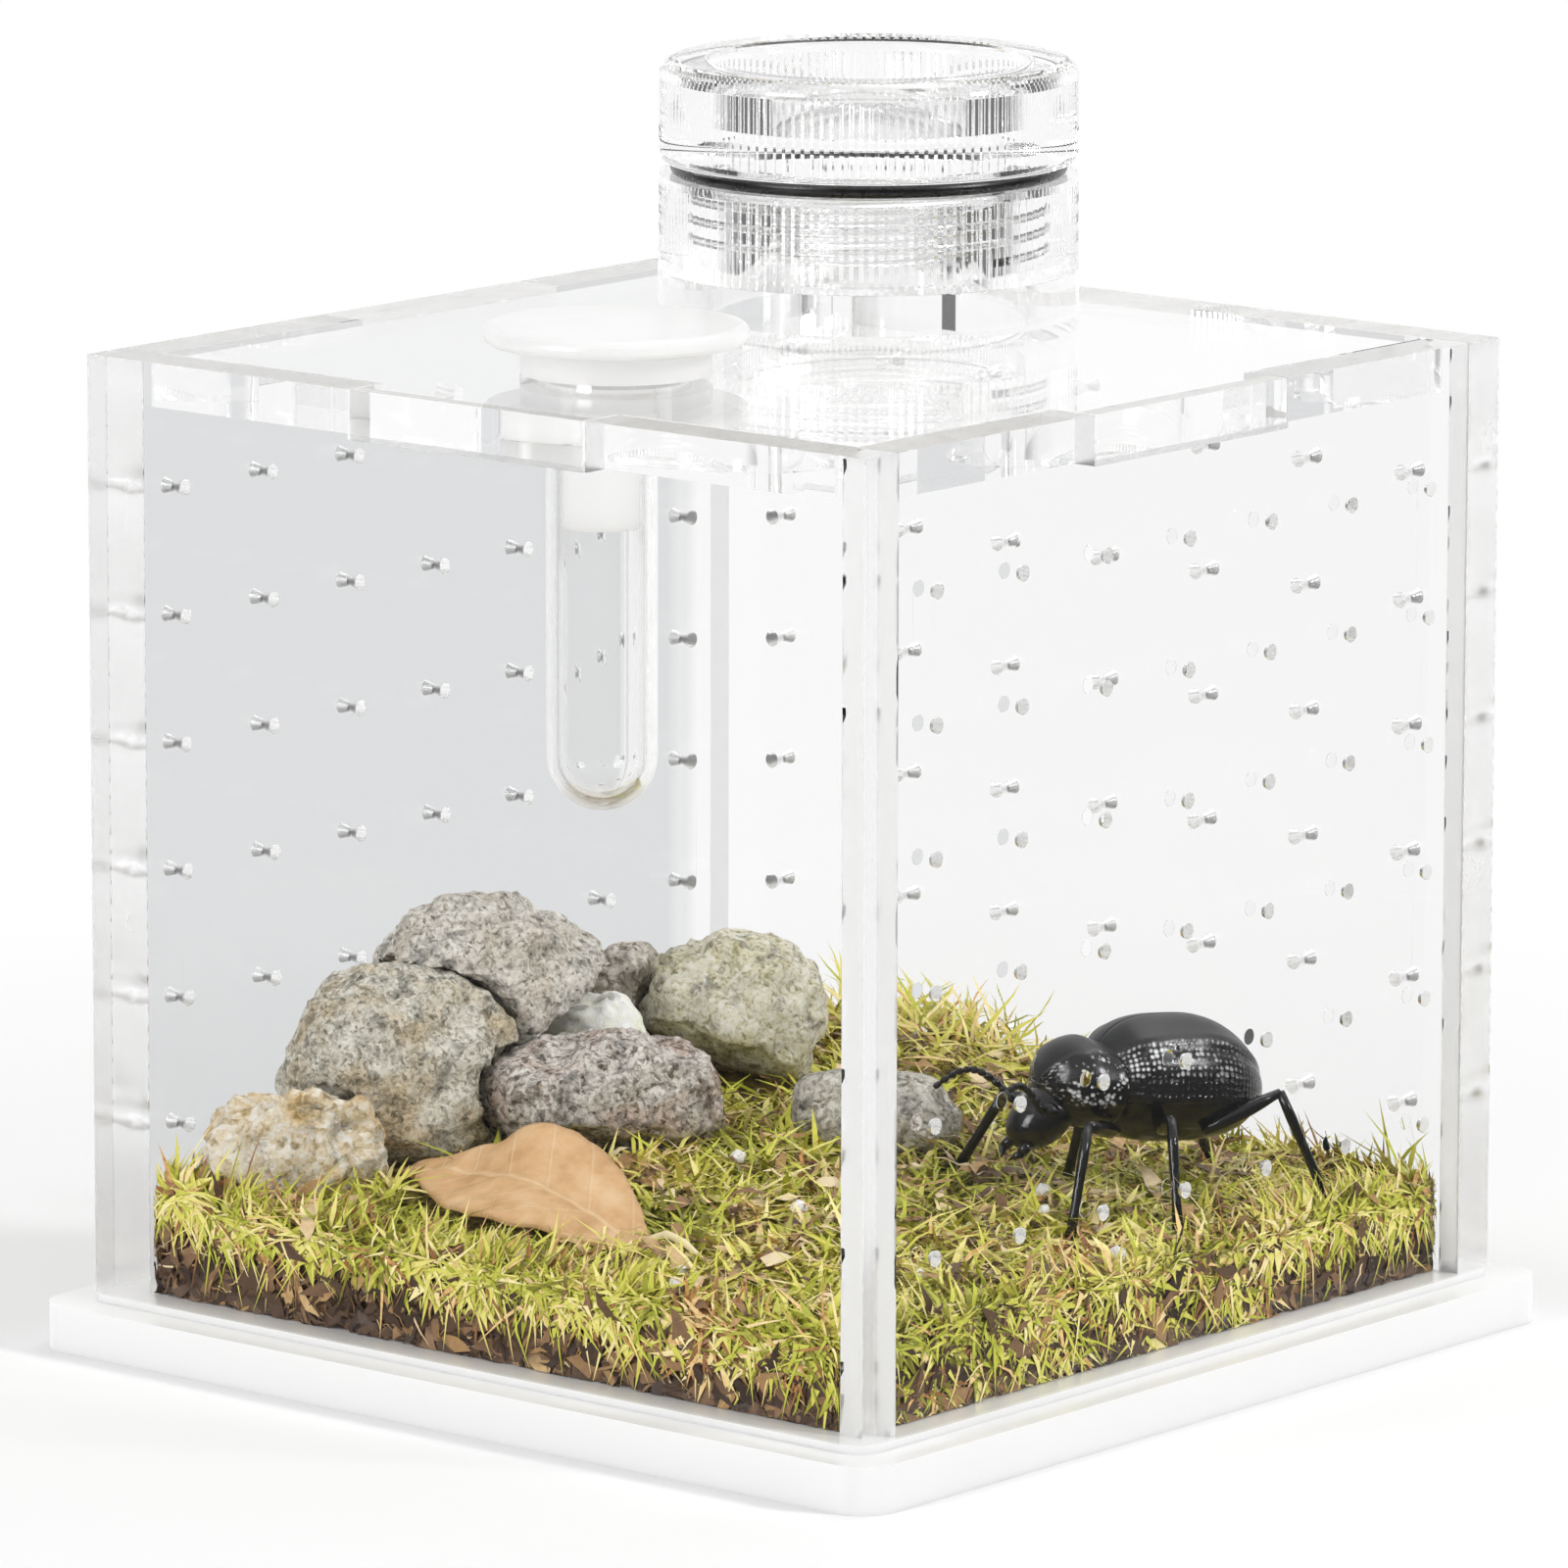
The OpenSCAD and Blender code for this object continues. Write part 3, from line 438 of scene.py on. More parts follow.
def shade_at(x, y):
    """Shade of the moss in patches: lime in most places, olive, straw and brown in others."""
    patch = noise.noise(Vector((x, y, 0)) / (11 * MM))
    patch += 0.6 * noise.noise(Vector((x, y, 40 * MM)) / (4.5 * MM))
    return 0.46 + 0.55 * patch + dice.gauss(0, 0.1)


def clear_of_leaf(x, y, margin):
    """Whether the dry leaf is further from x, y than the margin."""
    return not any(drop(leaf_tree, x + i * margin, y + j * margin)[0] for i in (-1, 0, 1) for j in (-1, 0, 1))


FOOT_CLEAR = 2 * MM


def open_ground(x, y, leaf_margin):
    """Point and normal of the moss where no stone, leaf or foot of the beetle covers it, or None twice."""
    ground, up = drop(moss_tree, x, y)
    stone = drop(stone_tree, x, y)[0]
    trodden = any((foot - Vector((x, y))).length < FOOT_CLEAR for foot in foot_spots)
    if ground is None or trodden or (stone and stone.z > ground.z) or not clear_of_leaf(x, y, leaf_margin):
        return None, None
    return ground, up


def at_wall(number, along, inset):
    """Point at the foot of a wall, which are numbered from the right wall round by the rear, and the way out."""
    turn = Matrix.Rotation(math.pi / 2 * number, 3, "Z")
    return turn @ Vector((PRESS - inset, along, 0)), turn @ Vector((1, 0, 0))


SPROUT_GRID = 62
ROOT_MM = 0.4
sprouts = []
for i in range(SPROUT_GRID):
    for j in range(SPROUT_GRID):
        x = PRESS * (2 * (i + dice.random()) / SPROUT_GRID - 1)
        y = PRESS * (2 * (j + dice.random()) / SPROUT_GRID - 1)
        ground, up = open_ground(x, y, 1.2 * MM)
        if ground is None:
            continue
        lean = up + Vector((dice.gauss(0, 0.35), dice.gauss(0, 0.35), 0))
        kind = dice.choice((star, star, flat_star, flat_star, leafy, wisp, wisp))
        sprouts.append((kind, ground - up * ROOT_MM * MM, lean, dice.uniform(0.65, 1.15), shade_at(x, y), 0.13))
# Moss that grows against the walls, lowest on the right wall and on the right of the front wall, and in part dead
WALL_SPROUTS = 1300
for k in range(WALL_SPROUTS):
    along = dice.uniform(-1, 1) * PRESS
    foot, outward = at_wall(k % 4, along, 1.1 * MM)
    top = moss_height(foot.x, foot.y) - BED_LOW
    low = (2 if along < 0.4 * PRESS else 6, 6, 6, 6.5 - 2.5 * along / PRESS)[k % 4] * MM
    low += 2.5 * MM * noise.noise(foot / (9 * MM))
    foot.z = BED_LOW + low + max(0, top - low) * dice.random()
    lean = outward + Vector((dice.gauss(0, 0.25), dice.gauss(0, 0.25), 0.5 + dice.gauss(0, 0.3)))
    kind = dice.choice((star, flat_star, leafy, wisp))
    shade = dice.uniform(0.72, 1.0) if dice.random() < 0.25 else shade_at(foot.x, foot.y) - 0.06
    sprouts.append((kind, foot, lean, dice.uniform(0.7, 1.1), shade, 0.14))
# Long ochre strands of the tussock at the rear wall
TUSSOCK_AT = Vector((-19, 42)) * MM
STRANDS = 130
for k in range(STRANDS):
    x, y = dice.gauss(TUSSOCK_AT.x, 9 * MM), min(PRESS, dice.gauss(TUSSOCK_AT.y, 3 * MM))
    ground, up = open_ground(x, y, 0)
    if ground is not None:
        lean = Vector((0.35 + dice.gauss(0, 0.3), -0.25 + dice.gauss(0, 0.3), 1))
        sprouts.append((strand, ground, lean, dice.uniform(0.6, 1.0), dice.uniform(0.35, 0.75), 0.1))
dice.shuffle(sprouts)
fourth = len(sprouts) // 4 + 1
for k in range(4):
    grow(f"moss_sprigs_{k + 1}", sprouts[k * fourth:(k + 1) * fourth], moss_leaf, 0.5 * MM)

# Dead leaves and stems: pressed against the walls below the moss, and a few on top of it
scrap = tuft("scrap", blades=3, length=3.8 * MM, width=1.6 * MM, rises=(0, 40), curl=0.25)
flake = tuft("flake", blades=2, length=5.5 * MM, width=2.2 * MM, rises=(2, 30), curl=0.3, rows=5)
curl = tuft("curl", blades=2, length=6 * MM, width=1.0 * MM, rises=(4, 30), curl=0.35, rows=5)
stem = tuft("stem", blades=1, length=9 * MM, width=0.4 * MM, rises=(18, 18), curl=0.3, rows=7)
WALL_SCRAPS, TOP_SCRAPS, STEMS = 2800, 420, 600
FRONT_WALL = 3
SCRAPS_TO = 0.72                         # how far up the moss they lie at a wall, as a share of its height
scraps = []
for k in range(WALL_SCRAPS):
    foot, outward = at_wall(k % 4, dice.uniform(-1, 1) * PRESS, 0.3 * MM)
    top = moss_height(foot.x, foot.y) - BED_LOW
    share = SCRAPS_TO - 0.26 * foot.x / PRESS if k % 4 == FRONT_WALL else SCRAPS_TO
    foot.z = BED_LOW + top * share * dice.random() ** 1.3
    lean = -outward + Vector((dice.gauss(0, 0.2), dice.gauss(0, 0.2), dice.gauss(0, 0.3)))
    kind = dice.choice((scrap, flake, curl, stem, stem))
    pale, longest = (0.35, 0.6) if kind is stem else (0, 1.1)
    scraps.append((kind, foot, lean, dice.uniform(0.3, longest), pale + 0.65 * dice.random() ** 1.6, 0.1))
for k in range(TOP_SCRAPS + STEMS):
    ground, up = open_ground(dice.uniform(-PRESS, PRESS), dice.uniform(-PRESS, PRESS), 4 * MM)
    if ground is None:
        continue
    lean = up + Vector((dice.gauss(0, 0.15), dice.gauss(0, 0.15), 0))
    kind = dice.choice((scrap, curl, flake)) if k < TOP_SCRAPS else stem
    scraps.append((kind, ground + up * 1.4 * MM, lean, dice.uniform(0.4, 0.9), dice.uniform(0.3, 1.0), 0.1))
grow("litter_scraps", scraps, litter_leaf, 1.1 * MM)


def perlite(name):
    """Expanded volcanic glass: chalk white and full of pores."""
    mat, tree, place = start(name)
    pores = add(tree, "TexVoronoi", {"Vector": place, "Scale": 1 / (0.35 * MM)}).outputs["Distance"]
    tint = add(tree, "ValToRGB", {0: pores}, [(0.1, "#C9C7C0"), (0.5, "#F4F3EF")])
    bump = add(tree, "Bump", {"Height": pores, "Strength": 0.6, "Distance": 0.2 * MM})
    body = add(tree, "BsdfPrincipled", {"Base Color": tint, "Roughness": 0.8, "Normal": bump})
    add(tree, "OutputMaterial", {"Surface": body})
    return mat


# White grains on the moss
GRAINS = 14
bm = bmesh.new()
for k in range(GRAINS):
    ground = None
    while ground is None:
        ground, up = open_ground(dice.uniform(-0.95, 0.95) * PRESS, dice.uniform(-0.95, 0.95) * PRESS, 2 * MM)
    size = dice.uniform(0.5, 0.9) * MM
    grain = bmesh.ops.create_icosphere(bm, subdivisions=2, radius=size,
                                       matrix=Matrix.Translation(ground + up * 1.6 * MM))
    for v in grain["verts"]:
        v.co += size * 0.35 * noise.noise_vector(v.co / (0.7 * MM))
press(bm)
piece("perlite_grains", bm, perlite("perlite"), "box")


# Stones

def stone_mat(name, tones, stain, grain_mm, bump_mm):
    """Weathered stone: crystals from dark to light, each of one tone, hollows darkened with painted shade, a
    stain in patches, and a rough broken face."""
    mat, tree, place = start(name)
    warp = add(tree, "TexNoise", {"Vector": place, "Scale": 1 / (2 * grain_mm * MM), "Detail": 3.0})
    shift = add(tree, "Mix", {0: 0.0012, 4: place, 5: warp.outputs["Color"]}, data_type="VECTOR")
    grain = add(tree, "TexNoise", {"Vector": shift.outputs[1], "Scale": 1 / (grain_mm * MM), "Detail": 6.0,
                                   "Roughness": 0.75})
    crystals = add(tree, "TexVoronoi", {"Vector": shift.outputs[1], "Scale": 1 / (0.6 * grain_mm * MM)})
    own = add(tree, "SeparateColor", {0: crystals.outputs["Color"]})
    pick = add(tree, "Math", {0: own, 1: 0.26, 2: grain}, operation="MULTIPLY_ADD")
    minerals = add(tree, "ValToRGB", {0: pick}, list(zip((0.42, 0.53, 0.64, 0.78), tones)))
    hollow = add(tree, "TexNoise", {"Vector": shift.outputs[1], "Scale": 1 / (3 * grain_mm * MM), "Detail": 5.0,
                                    "Roughness": 0.65})
    # Painted shade: the hollows of the bump are darkened to half
    hollow_shade = add(tree, "MapRange", {"Value": hollow, "From Min": 0.36, "From Max": 0.47, "To Min": 0.5,
                                  "To Max": 1.0})
    shaded_minerals = add(tree, "Mix", {0: 1.0, 6: minerals, 7: hollow_shade}, data_type="RGBA", blend_type="MULTIPLY")
    broad = add(tree, "TexNoise", {"Vector": place, "Scale": 1 / (6 * MM), "Detail": 5.0, "Roughness": 0.6})
    patch = add(tree, "MapRange", {"Value": broad, "From Min": 0.47, "From Max": 0.62})
    tint = add(tree, "Mix", {0: patch, 6: shaded_minerals.outputs[2], 7: colour(stain)}, data_type="RGBA",
               blend_type="MULTIPLY")
    relief = add(tree, "Math", {0: hollow_shade, 1: 0.8, 2: pick}, operation="MULTIPLY_ADD")
    bump = add(tree, "Bump", {"Height": relief, "Strength": 0.9, "Distance": bump_mm * MM})
    body = add(tree, "BsdfPrincipled", {"Base Color": tint.outputs[2], "Roughness": 0.78, "Normal": bump,
                                        "Specular IOR Level": 0.3})
    add(tree, "OutputMaterial", {"Surface": body})
    return mat


def reach_of(bm, middle, way):
    """How far a mesh stands out from its middle that way."""
    return max((v.co - middle).dot(way) for v in bm.verts)


def hew(bm, middle, way, reach):
    """Flat broken face: what stands further out that way than reach is laid down on it."""
    for v in bm.verts:
        past = (v.co - middle).dot(way) - reach
        if past > 0:
            v.co -= way * past * 0.95


# Each stone: tones of its grains, stain, grain and bump in millimetres, flat faces, roughness in millimetres
STONE_LOOKS = {
    "stone_speckled": (("#5C544C", "#A89F95", "#DBD3CA", "#FAF5EE"), "#EADAD2", 0.75, 0.6, 5, 0.7),
    "stone_tan": (("#B8A47C", "#E2D0AE", "#F4E8D0", "#FDF9F0"), "#F8E6C4", 1.2, 0.7, 5, 0.9),
    "stone_olive": (("#9C9674", "#DAD4B8", "#F0EBD4", "#FBF9EE"), "#F4F1E2", 0.7, 0.5, 6, 0.7),
    "stone_blue": (("#7A7568", "#A39D8E", "#C6C1B5", "#E2DED4"), "#E8E8EA", 0.8, 0.35, 3, 0.3),
    "stone_grey": (("#8A8474", "#BCB7A8", "#DEDACC", "#F6F2E8"), "#F0E4CF", 0.6, 0.5, 5, 0.6),
    "stone_pale": (("#F2F1DC", "#FAFAEE", "#FEFEF8", "#FEFEFE"), "#FCFEF2", 0.9, 0.25, 4, 0.45),
    "stone_dark": (("#6E6458", "#A49B8F", "#CBC4B8", "#E4DFD6"), "#EEE6DC", 0.9, 0.4, 4, 0.4),
    "stone_top": (("#8A8378", "#C6C0B5", "#E8E2D8", "#FAF7EF"), "#F4F0EA", 0.6, 0.5, 2, 0.7),
}
# The top stone's lower right is broken away, which leaves the stones under it in view
TOP_BREAK, TOP_BREAK_REACH = Vector((0.46, 0.38, -0.8)).normalized(), 3.7 * MM
# Undersides that lie in the shade: the way they face, and how far out, as a share of the stone's reach that way
UNDERCUTS = {"stone_top": (Vector((0.47, -0.26, -0.84)), 0.6),
             "stone_olive": (Vector((0.02, -0.54, -0.84)), 0.42),
             "stone_speckled": (Vector((0.4, -0.4, -0.82)), 0.74)}
# The pale stone is wedged in: it fills the gap between its neighbours
PALE_SWELL = (1.14, 1.14, 1.06)
for number, (node, (tones, stain, grain_mm, bump_mm, faces, rough_mm)) in enumerate(STONE_LOOKS.items()):
    bm = copy_of(node)
    bmesh.ops.subdivide_edges(bm, edges=bm.edges[:], cuts=4, use_grid_fill=True)
    for k in range(4):
        bmesh.ops.smooth_vert(bm, verts=bm.verts[:], factor=0.5, use_axis_x=True, use_axis_y=True,
                              use_axis_z=True)
    middle = sum((v.co for v in bm.verts), Vector()) / len(bm.verts)
    chisel = random.Random(number + 1)
    for k in range(faces):
        way = Vector((chisel.gauss(0, 1), chisel.gauss(0, 1), chisel.uniform(-0.3, 0.9))).normalized()
        hew(bm, middle, way, chisel.uniform(0.8, 0.92) * reach_of(bm, middle, way))
    # Smoothing and flat faces have drawn it in: it fills its node's box again
    low, high = (Vector(corner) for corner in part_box(node))
    drawn = [(min(v.co[i] for v in bm.verts), max(v.co[i] for v in bm.verts)) for i in range(3)]
    for v in bm.verts:
        v.co = [low[i] + (high[i] - low[i]) * (v.co[i] - drawn[i][0]) / (drawn[i][1] - drawn[i][0])
                for i in range(3)]
    middle = (low + high) / 2
    if node == "stone_pale":
        bmesh.ops.scale(bm, vec=PALE_SWELL, verts=bm.verts[:], space=Matrix.Translation(-middle))
    if node == "stone_top":
        hew(bm, middle, TOP_BREAK, TOP_BREAK_REACH)
    if node in UNDERCUTS:
        way, share = UNDERCUTS[node]
        hew(bm, middle, way, share * reach_of(bm, middle, way))
    bm.normal_update()
    for v in bm.verts:
        spot = v.co / MM + Vector((0, 0, 31 * number))
        lumps = noise.turbulence(spot / 4, 4, False) - 0.4
        chips = noise.noise(spot / 1.1)
        crack = max(0, 1 - abs(noise.noise(spot / 5)) / 0.07)
        v.co += v.normal * rough_mm * MM * (1.5 * lumps + 0.4 * chips - 0.7 * crack)
    press(bm)
    mat = stone_mat("weathered_" + node, tones, stain, grain_mm, bump_mm)
    piece(node + "_rough", bm, mat, "box", (node,))


# Dry leaf

LEAF_MIDDLE = Vector((-10.54, -27.36, 0)) * MM
LEAF_TURN = math.radians(-4)
LEAF_LEN, LEAF_BEND = 35.5 * MM, 2.2 * MM
VEIN_GAP = 2.6 * MM


def leaf_skin(name):
    """Papery and matt, with a paler midrib, side veins that run forward from it, and a straw stalk."""
    mat, tree, place = start(name)
    flat = add(tree, "UVMap", uv_map="blade")
    axes = add(tree, "SeparateXYZ", {0: flat})
    side = add(tree, "Math", {0: axes.outputs["Y"]}, operation="ABSOLUTE")
    slant = add(tree, "Math", {0: side, 1: 0.8, 2: axes.outputs["X"]}, operation="MULTIPLY_ADD")
    phase = add(tree, "Math", {0: slant, 1: 1 / VEIN_GAP}, operation="MULTIPLY")
    vein = add(tree, "Math", {0: phase, 1: 1.0}, operation="PINGPONG")
    thin = add(tree, "MapRange", {"Value": vein, "From Max": 0.1, "To Min": 1.0, "To Max": 0.0})
    rib = add(tree, "MapRange", {"Value": side, "From Min": 0.15 * MM, "From Max": 0.4 * MM, "To Min": 1.0,
                                 "To Max": 0.0})
    lines = add(tree, "Math", {0: thin, 1: rib}, operation="MAXIMUM")
    mottle = add(tree, "TexNoise", {"Vector": place, "Scale": 1 / (4 * MM), "Detail": 6.0, "Roughness": 0.6})
    paper = add(tree, "ValToRGB", {0: mottle}, [(0.3, "#BA9163"), (0.5, "#D2AA7C"), (0.7, "#E0BE94")])
    pale = add(tree, "Math", {0: lines, 1: 0.3}, operation="MULTIPLY")
    veined = add(tree, "Mix", {0: pale, 6: paper, 7: colour("#F4DCB4")}, data_type="RGBA")
    past_blade = add(tree, "MapRange", {"Value": axes.outputs["X"], "From Min": LEAF_LEN / 2 - 1 * MM,
                                        "From Max": LEAF_LEN / 2 + 1 * MM})
    tint = add(tree, "Mix", {0: past_blade, 6: veined.outputs[2], 7: colour("#F2E4B8")}, data_type="RGBA")
    crinkle = add(tree, "Math", {0: lines, 1: mottle}, operation="ADD")
    bump = add(tree, "Bump", {"Height": crinkle, "Strength": 0.35, "Distance": 0.3 * MM})
    body = add(tree, "BsdfPrincipled", {"Base Color": tint.outputs[2], "Roughness": 0.62, "Normal": bump,
                                        "Specular IOR Level": 0.3})
    add(tree, "OutputMaterial", {"Surface": body})
    return mat


bm = copy_of("dry_leaf")
bmesh.ops.subdivide_edges(bm, edges=bm.edges[:], cuts=2, use_grid_fill=True)
to_leaf = Matrix.Rotation(-LEAF_TURN, 4, "Z") @ Matrix.Translation(-LEAF_MIDDLE)
blade_map = bm.loops.layers.uv.new("blade")
for face in bm.faces:
    for loop in face.loops:
        at = to_leaf @ loop.vert.co
        along = max(0, min(1, at.x / LEAF_LEN + 0.5))
        loop[blade_map].uv = (at.x, at.y + LEAF_BEND * math.sin(math.pi * along))
# A fold across the blade that rises to its rear edge, a stalk that lies on top of the moss, and crinkles
FOLD_AT, FOLD_HALF, FOLD_RISE, STALK_RISE = 0.41, 0.09, 1.0 * MM, 0.9 * MM
for v in bm.verts:
    at = to_leaf @ v.co
    fold = max(0, 1 - ((at.x / LEAF_LEN + 0.5 - FOLD_AT) / FOLD_HALF) ** 2)
    v.co.z += FOLD_RISE * fold * max(0, min(1, 0.4 + at.y / (7 * MM)))
    v.co.z += STALK_RISE * max(0, min(1, (at.x - LEAF_LEN / 2) / (3 * MM)))
    v.co.z += 0.4 * MM * noise.noise(Vector((v.co.x, v.co.y, 0)) / (3 * MM))
piece("dry_leaf_blade", bm, leaf_skin("dry_leaf_skin"), "box", ("dry_leaf",))


# Beetle

def shell(name, pit_mm, uneven, depth_mm, gloss, pits_to_mm, glint_low_mm=0, glint_rear_mm=0, glint_share=0.0):
    """Black insect shell: a hard polish broken by rows of small pits. Above the flank, past pits_to_mm up the
    girth, it is plain and duller. Pits ahead of glint_rear_mm and above glint_low_mm hold, in patches, a pale
    speck as
    strong as wax: a painted glint where the lamp's highlight falls."""
    mat, tree, place = start(name)
    rows = add(tree, "UVMap", uv_map="girth")
    pits = add(tree, "TexVoronoi", {"Vector": rows, "Scale": 1 / (pit_mm * MM), "Randomness": uneven})
    deep = add(tree, "MapRange", {"Value": pits.outputs["Distance"], "From Max": 0.4})
    axes = add(tree, "SeparateXYZ", {0: rows})
    flank = add(tree, "MapRange", {"Value": axes.outputs["Y"], "From Min": pits_to_mm * MM,
                                   "From Max": (pits_to_mm + 0.8) * MM, "To Min": 1.0, "To Max": 0.0})
    height = add(tree, "Math", {0: deep, 1: flank}, operation="MULTIPLY")
    fine = add(tree, "TexNoise", {"Vector": place, "Scale": 1 / (0.9 * MM), "Detail": 4.0})
    black = add(tree, "ValToRGB", {0: fine}, [(0.3, "#040404"), (0.7, "#0B0B0C")])
    cloud = add(tree, "TexNoise", {"Vector": rows, "Scale": 1 / (2.5 * MM), "Detail": 2.0})
    spread = add(tree, "MapRange", {"Value": cloud, "From Min": 0.42, "From Max": 0.65, "To Min": 0.3,
                                    "To Max": 0.6})
    pit_glint = add(tree, "MapRange", {"Value": pits.outputs["Distance"], "From Min": 0.2, "From Max": spread,
                                   "To Min": 1.0, "To Max": 0.0})
    glint_patch = add(tree, "MapRange", {"Value": cloud, "From Min": 0.35, "From Max": 0.6, "To Max": glint_share})
    ahead = add(tree, "MapRange", {"Value": axes.outputs["X"], "From Min": glint_rear_mm * MM,
                                   "From Max": (glint_rear_mm + 9) * MM})
    above = add(tree, "MapRange", {"Value": axes.outputs["Y"], "From Min": glint_low_mm * MM,
                                   "From Max": (glint_low_mm + 1.5) * MM})
    painted_glint = pit_glint
    for share in (glint_patch, ahead, above, flank):
        painted_glint = add(tree, "Math", {0: painted_glint, 1: share}, operation="MULTIPLY")
    # Painted glints: pale specks in the pits where the lamp's highlight falls
    tint = add(tree, "Mix", {0: painted_glint, 6: black, 7: colour("#F2F3F4")}, data_type="RGBA")
    dull = add(tree, "MapRange", {"Value": fine, "To Min": gloss, "To Max": gloss + 0.14})
    worn = add(tree, "Math", {0: flank, 1: -0.2, 2: dull}, operation="MULTIPLY_ADD")
    bump = add(tree, "Bump", {"Height": height, "Strength": 1.0, "Distance": depth_mm * MM})
    body = add(tree, "BsdfPrincipled", {"Base Color": tint.outputs[2], "Roughness": worn, "IOR": 1.56,
                                        "Normal": bump})
    add(tree, "OutputMaterial", {"Surface": body})
    return mat


# The wing cases and thorax carry painted glints towards the front of their flanks
wing_shell = shell("pitted_chitin", pit_mm=0.68, uneven=0.3, depth_mm=0.12, gloss=0.34, pits_to_mm=4.6,
                   glint_low_mm=0.6, glint_rear_mm=-6, glint_share=1.0)
thorax_shell = shell("dimpled_chitin", pit_mm=0.6, uneven=0.8, depth_mm=0.12, gloss=0.34, pits_to_mm=4.2,
                     glint_low_mm=-2.5, glint_rear_mm=-30, glint_share=0.75)
smooth_shell = shell("smooth_chitin", pit_mm=0.5, uneven=0.3, depth_mm=0.015, gloss=0.27, pits_to_mm=60)


def pod(bm, size, nose, tail, droop, ridges=()):
    """Rounded body along X. Its ends are blunter the higher their powers, and its tail hangs down. Each ridge
    is the sine of its angle up the girth, its width there and its height, as a share of the girth.
    Its girth map runs along the length and round the body in metres."""
    half = size / 2
    made = bmesh.ops.create_uvsphere(bm, u_segments=96, v_segments=48, radius=1, calc_uvs=False,
                                     matrix=Matrix.Rotation(math.pi / 2, 4, "Y"))["verts"]
    girth_map = bm.loops.layers.uv.get("girth") or bm.loops.layers.uv.new("girth")
    for face in {f for v in made for f in v.link_faces}:
        for loop in face.loops:
            co = loop.vert.co
            loop[girth_map].uv = (math.asin(max(-1, min(1, co.x))) * half.x,
                                  math.atan2(co.z, abs(co.y)) * (half.y + half.z) / 2)
    for v in made:
        t = v.co.x
        angle = math.atan2(v.co.z, v.co.y)
        lift = 1 + sum(rise * math.exp(-((math.sin(angle) - at) / width) ** 2) for at, width, rise in ridges)
        girth = math.sqrt(max(0, 1 - abs(t) ** (nose if t > 0 else tail))) * lift
        v.co = (half.x * t, half.y * girth * math.cos(angle),
                half.z * girth * math.sin(angle) - droop * max(0, -t) ** 2)


def cut(bm, point, way):
    """Cuts off what lies ahead of a plane and closes the cut."""
    geometry = bm.verts[:] + bm.edges[:] + bm.faces[:]
    bmesh.ops.bisect_plane(bm, geom=geometry, plane_co=point, plane_no=way, clear_outer=True)
    bmesh.ops.holes_fill(bm, edges=[e for e in bm.edges if e.is_boundary], sides=0)


WING_NOSE, WING_TAIL, WING_DROOP = 3.6, 2.2, 1.6 * MM
FLANK = -0.12 * WING.z
SEAM = 0.05 * MM
# A keel between back and flank with a hollow under it, and a rim where the wing case ends
WING_RIDGES = ((0.74, 0.07, 0.045), (0.58, 0.08, -0.03), (-0.2, 0.07, 0.035))
BELLY_SHARE = (0.97, 0.94, 1)
for name, way in (("left", 1), ("right", -1)):
    bm = bmesh.new()
    pod(bm, WING, WING_NOSE, WING_TAIL, WING_DROOP, WING_RIDGES)
    cut(bm, (0, way * SEAM, 0), (0, -way, 0))
    cut(bm, (0, 0, FLANK), (0, 0, -1))
    bm.transform(beetle_frame)
    piece(f"wing_case_{name}", bm, wing_shell, "box", (f"beetle_wing_{name}",))

bm = bmesh.new()
pod(bm, WING, WING_NOSE, WING_TAIL, WING_DROOP)
bmesh.ops.scale(bm, vec=BELLY_SHARE, verts=bm.verts[:])
cut(bm, (0, 0, FLANK - SEAM), (0, 0, 1))
bm.transform(beetle_frame)
piece("belly", bm, smooth_shell, "box", ("beetle_belly",))

THORAX_X = 0.53 * WING.x
THORAX = Vector((10.5 * MM, 0.82 * WING.y, 0.72 * WING.z))
THORAX_NOSE, THORAX_TAIL = 2.4, 2.8
THORAX_RIDGES = ((0.72, 0.08, 0.03), (-0.3, 0.07, 0.04))
# Its back falls towards a raised hem round its hind end, with a step down behind that
BACK_FALL = 0.22
HEM_AT, HEM_HALF, HEM_RISE = -0.38, 0.07, 0.05
STEP_AT, STEP_SHARE = -0.46, 0.86
bm = bmesh.new()
pod(bm, THORAX, THORAX_NOSE, THORAX_TAIL, 0, THORAX_RIDGES)
for v in bm.verts:
    t = v.co.x / (THORAX.x / 2)
    hem = 1 + HEM_RISE * math.exp(-((t - HEM_AT) / HEM_HALF) ** 2)
    if t < STEP_AT:
        hem *= STEP_SHARE
    v.co.y *= hem
    v.co.z *= hem * (1 - BACK_FALL * max(0, min(1, (0.15 - t) / 0.6)) if v.co.z > 0 else 1)
bmesh.ops.translate(bm, vec=(THORAX_X, 0, -0.2 * MM), verts=bm.verts[:])
bm.transform(beetle_frame)
piece("thorax", bm, thorax_shell, "box", ("beetle_thorax",))


def spindle(bm, a, b, radii, sides=14):
    """Round bar from a to b whose radius runs through the list."""
    along = b - a
    turn = along.to_track_quat("Z", "Y").to_matrix().to_4x4()
    parts = len(radii) - 1
    for k in range(parts):
        middle = Matrix.Translation(a + along * ((k + 0.5) / parts))
        bmesh.ops.create_cone(bm, segments=sides, radius1=radii[k], radius2=radii[k + 1],
                              depth=along.length / parts, matrix=middle @ turn)


def close(bm):
    """Joins what meets, fills what is open and turns all faces outward."""
    bmesh.ops.remove_doubles(bm, verts=bm.verts[:], dist=0.002 * MM)
    bmesh.ops.holes_fill(bm, edges=[e for e in bm.edges if e.is_boundary], sides=0)
    bmesh.ops.recalc_face_normals(bm, faces=bm.faces[:])


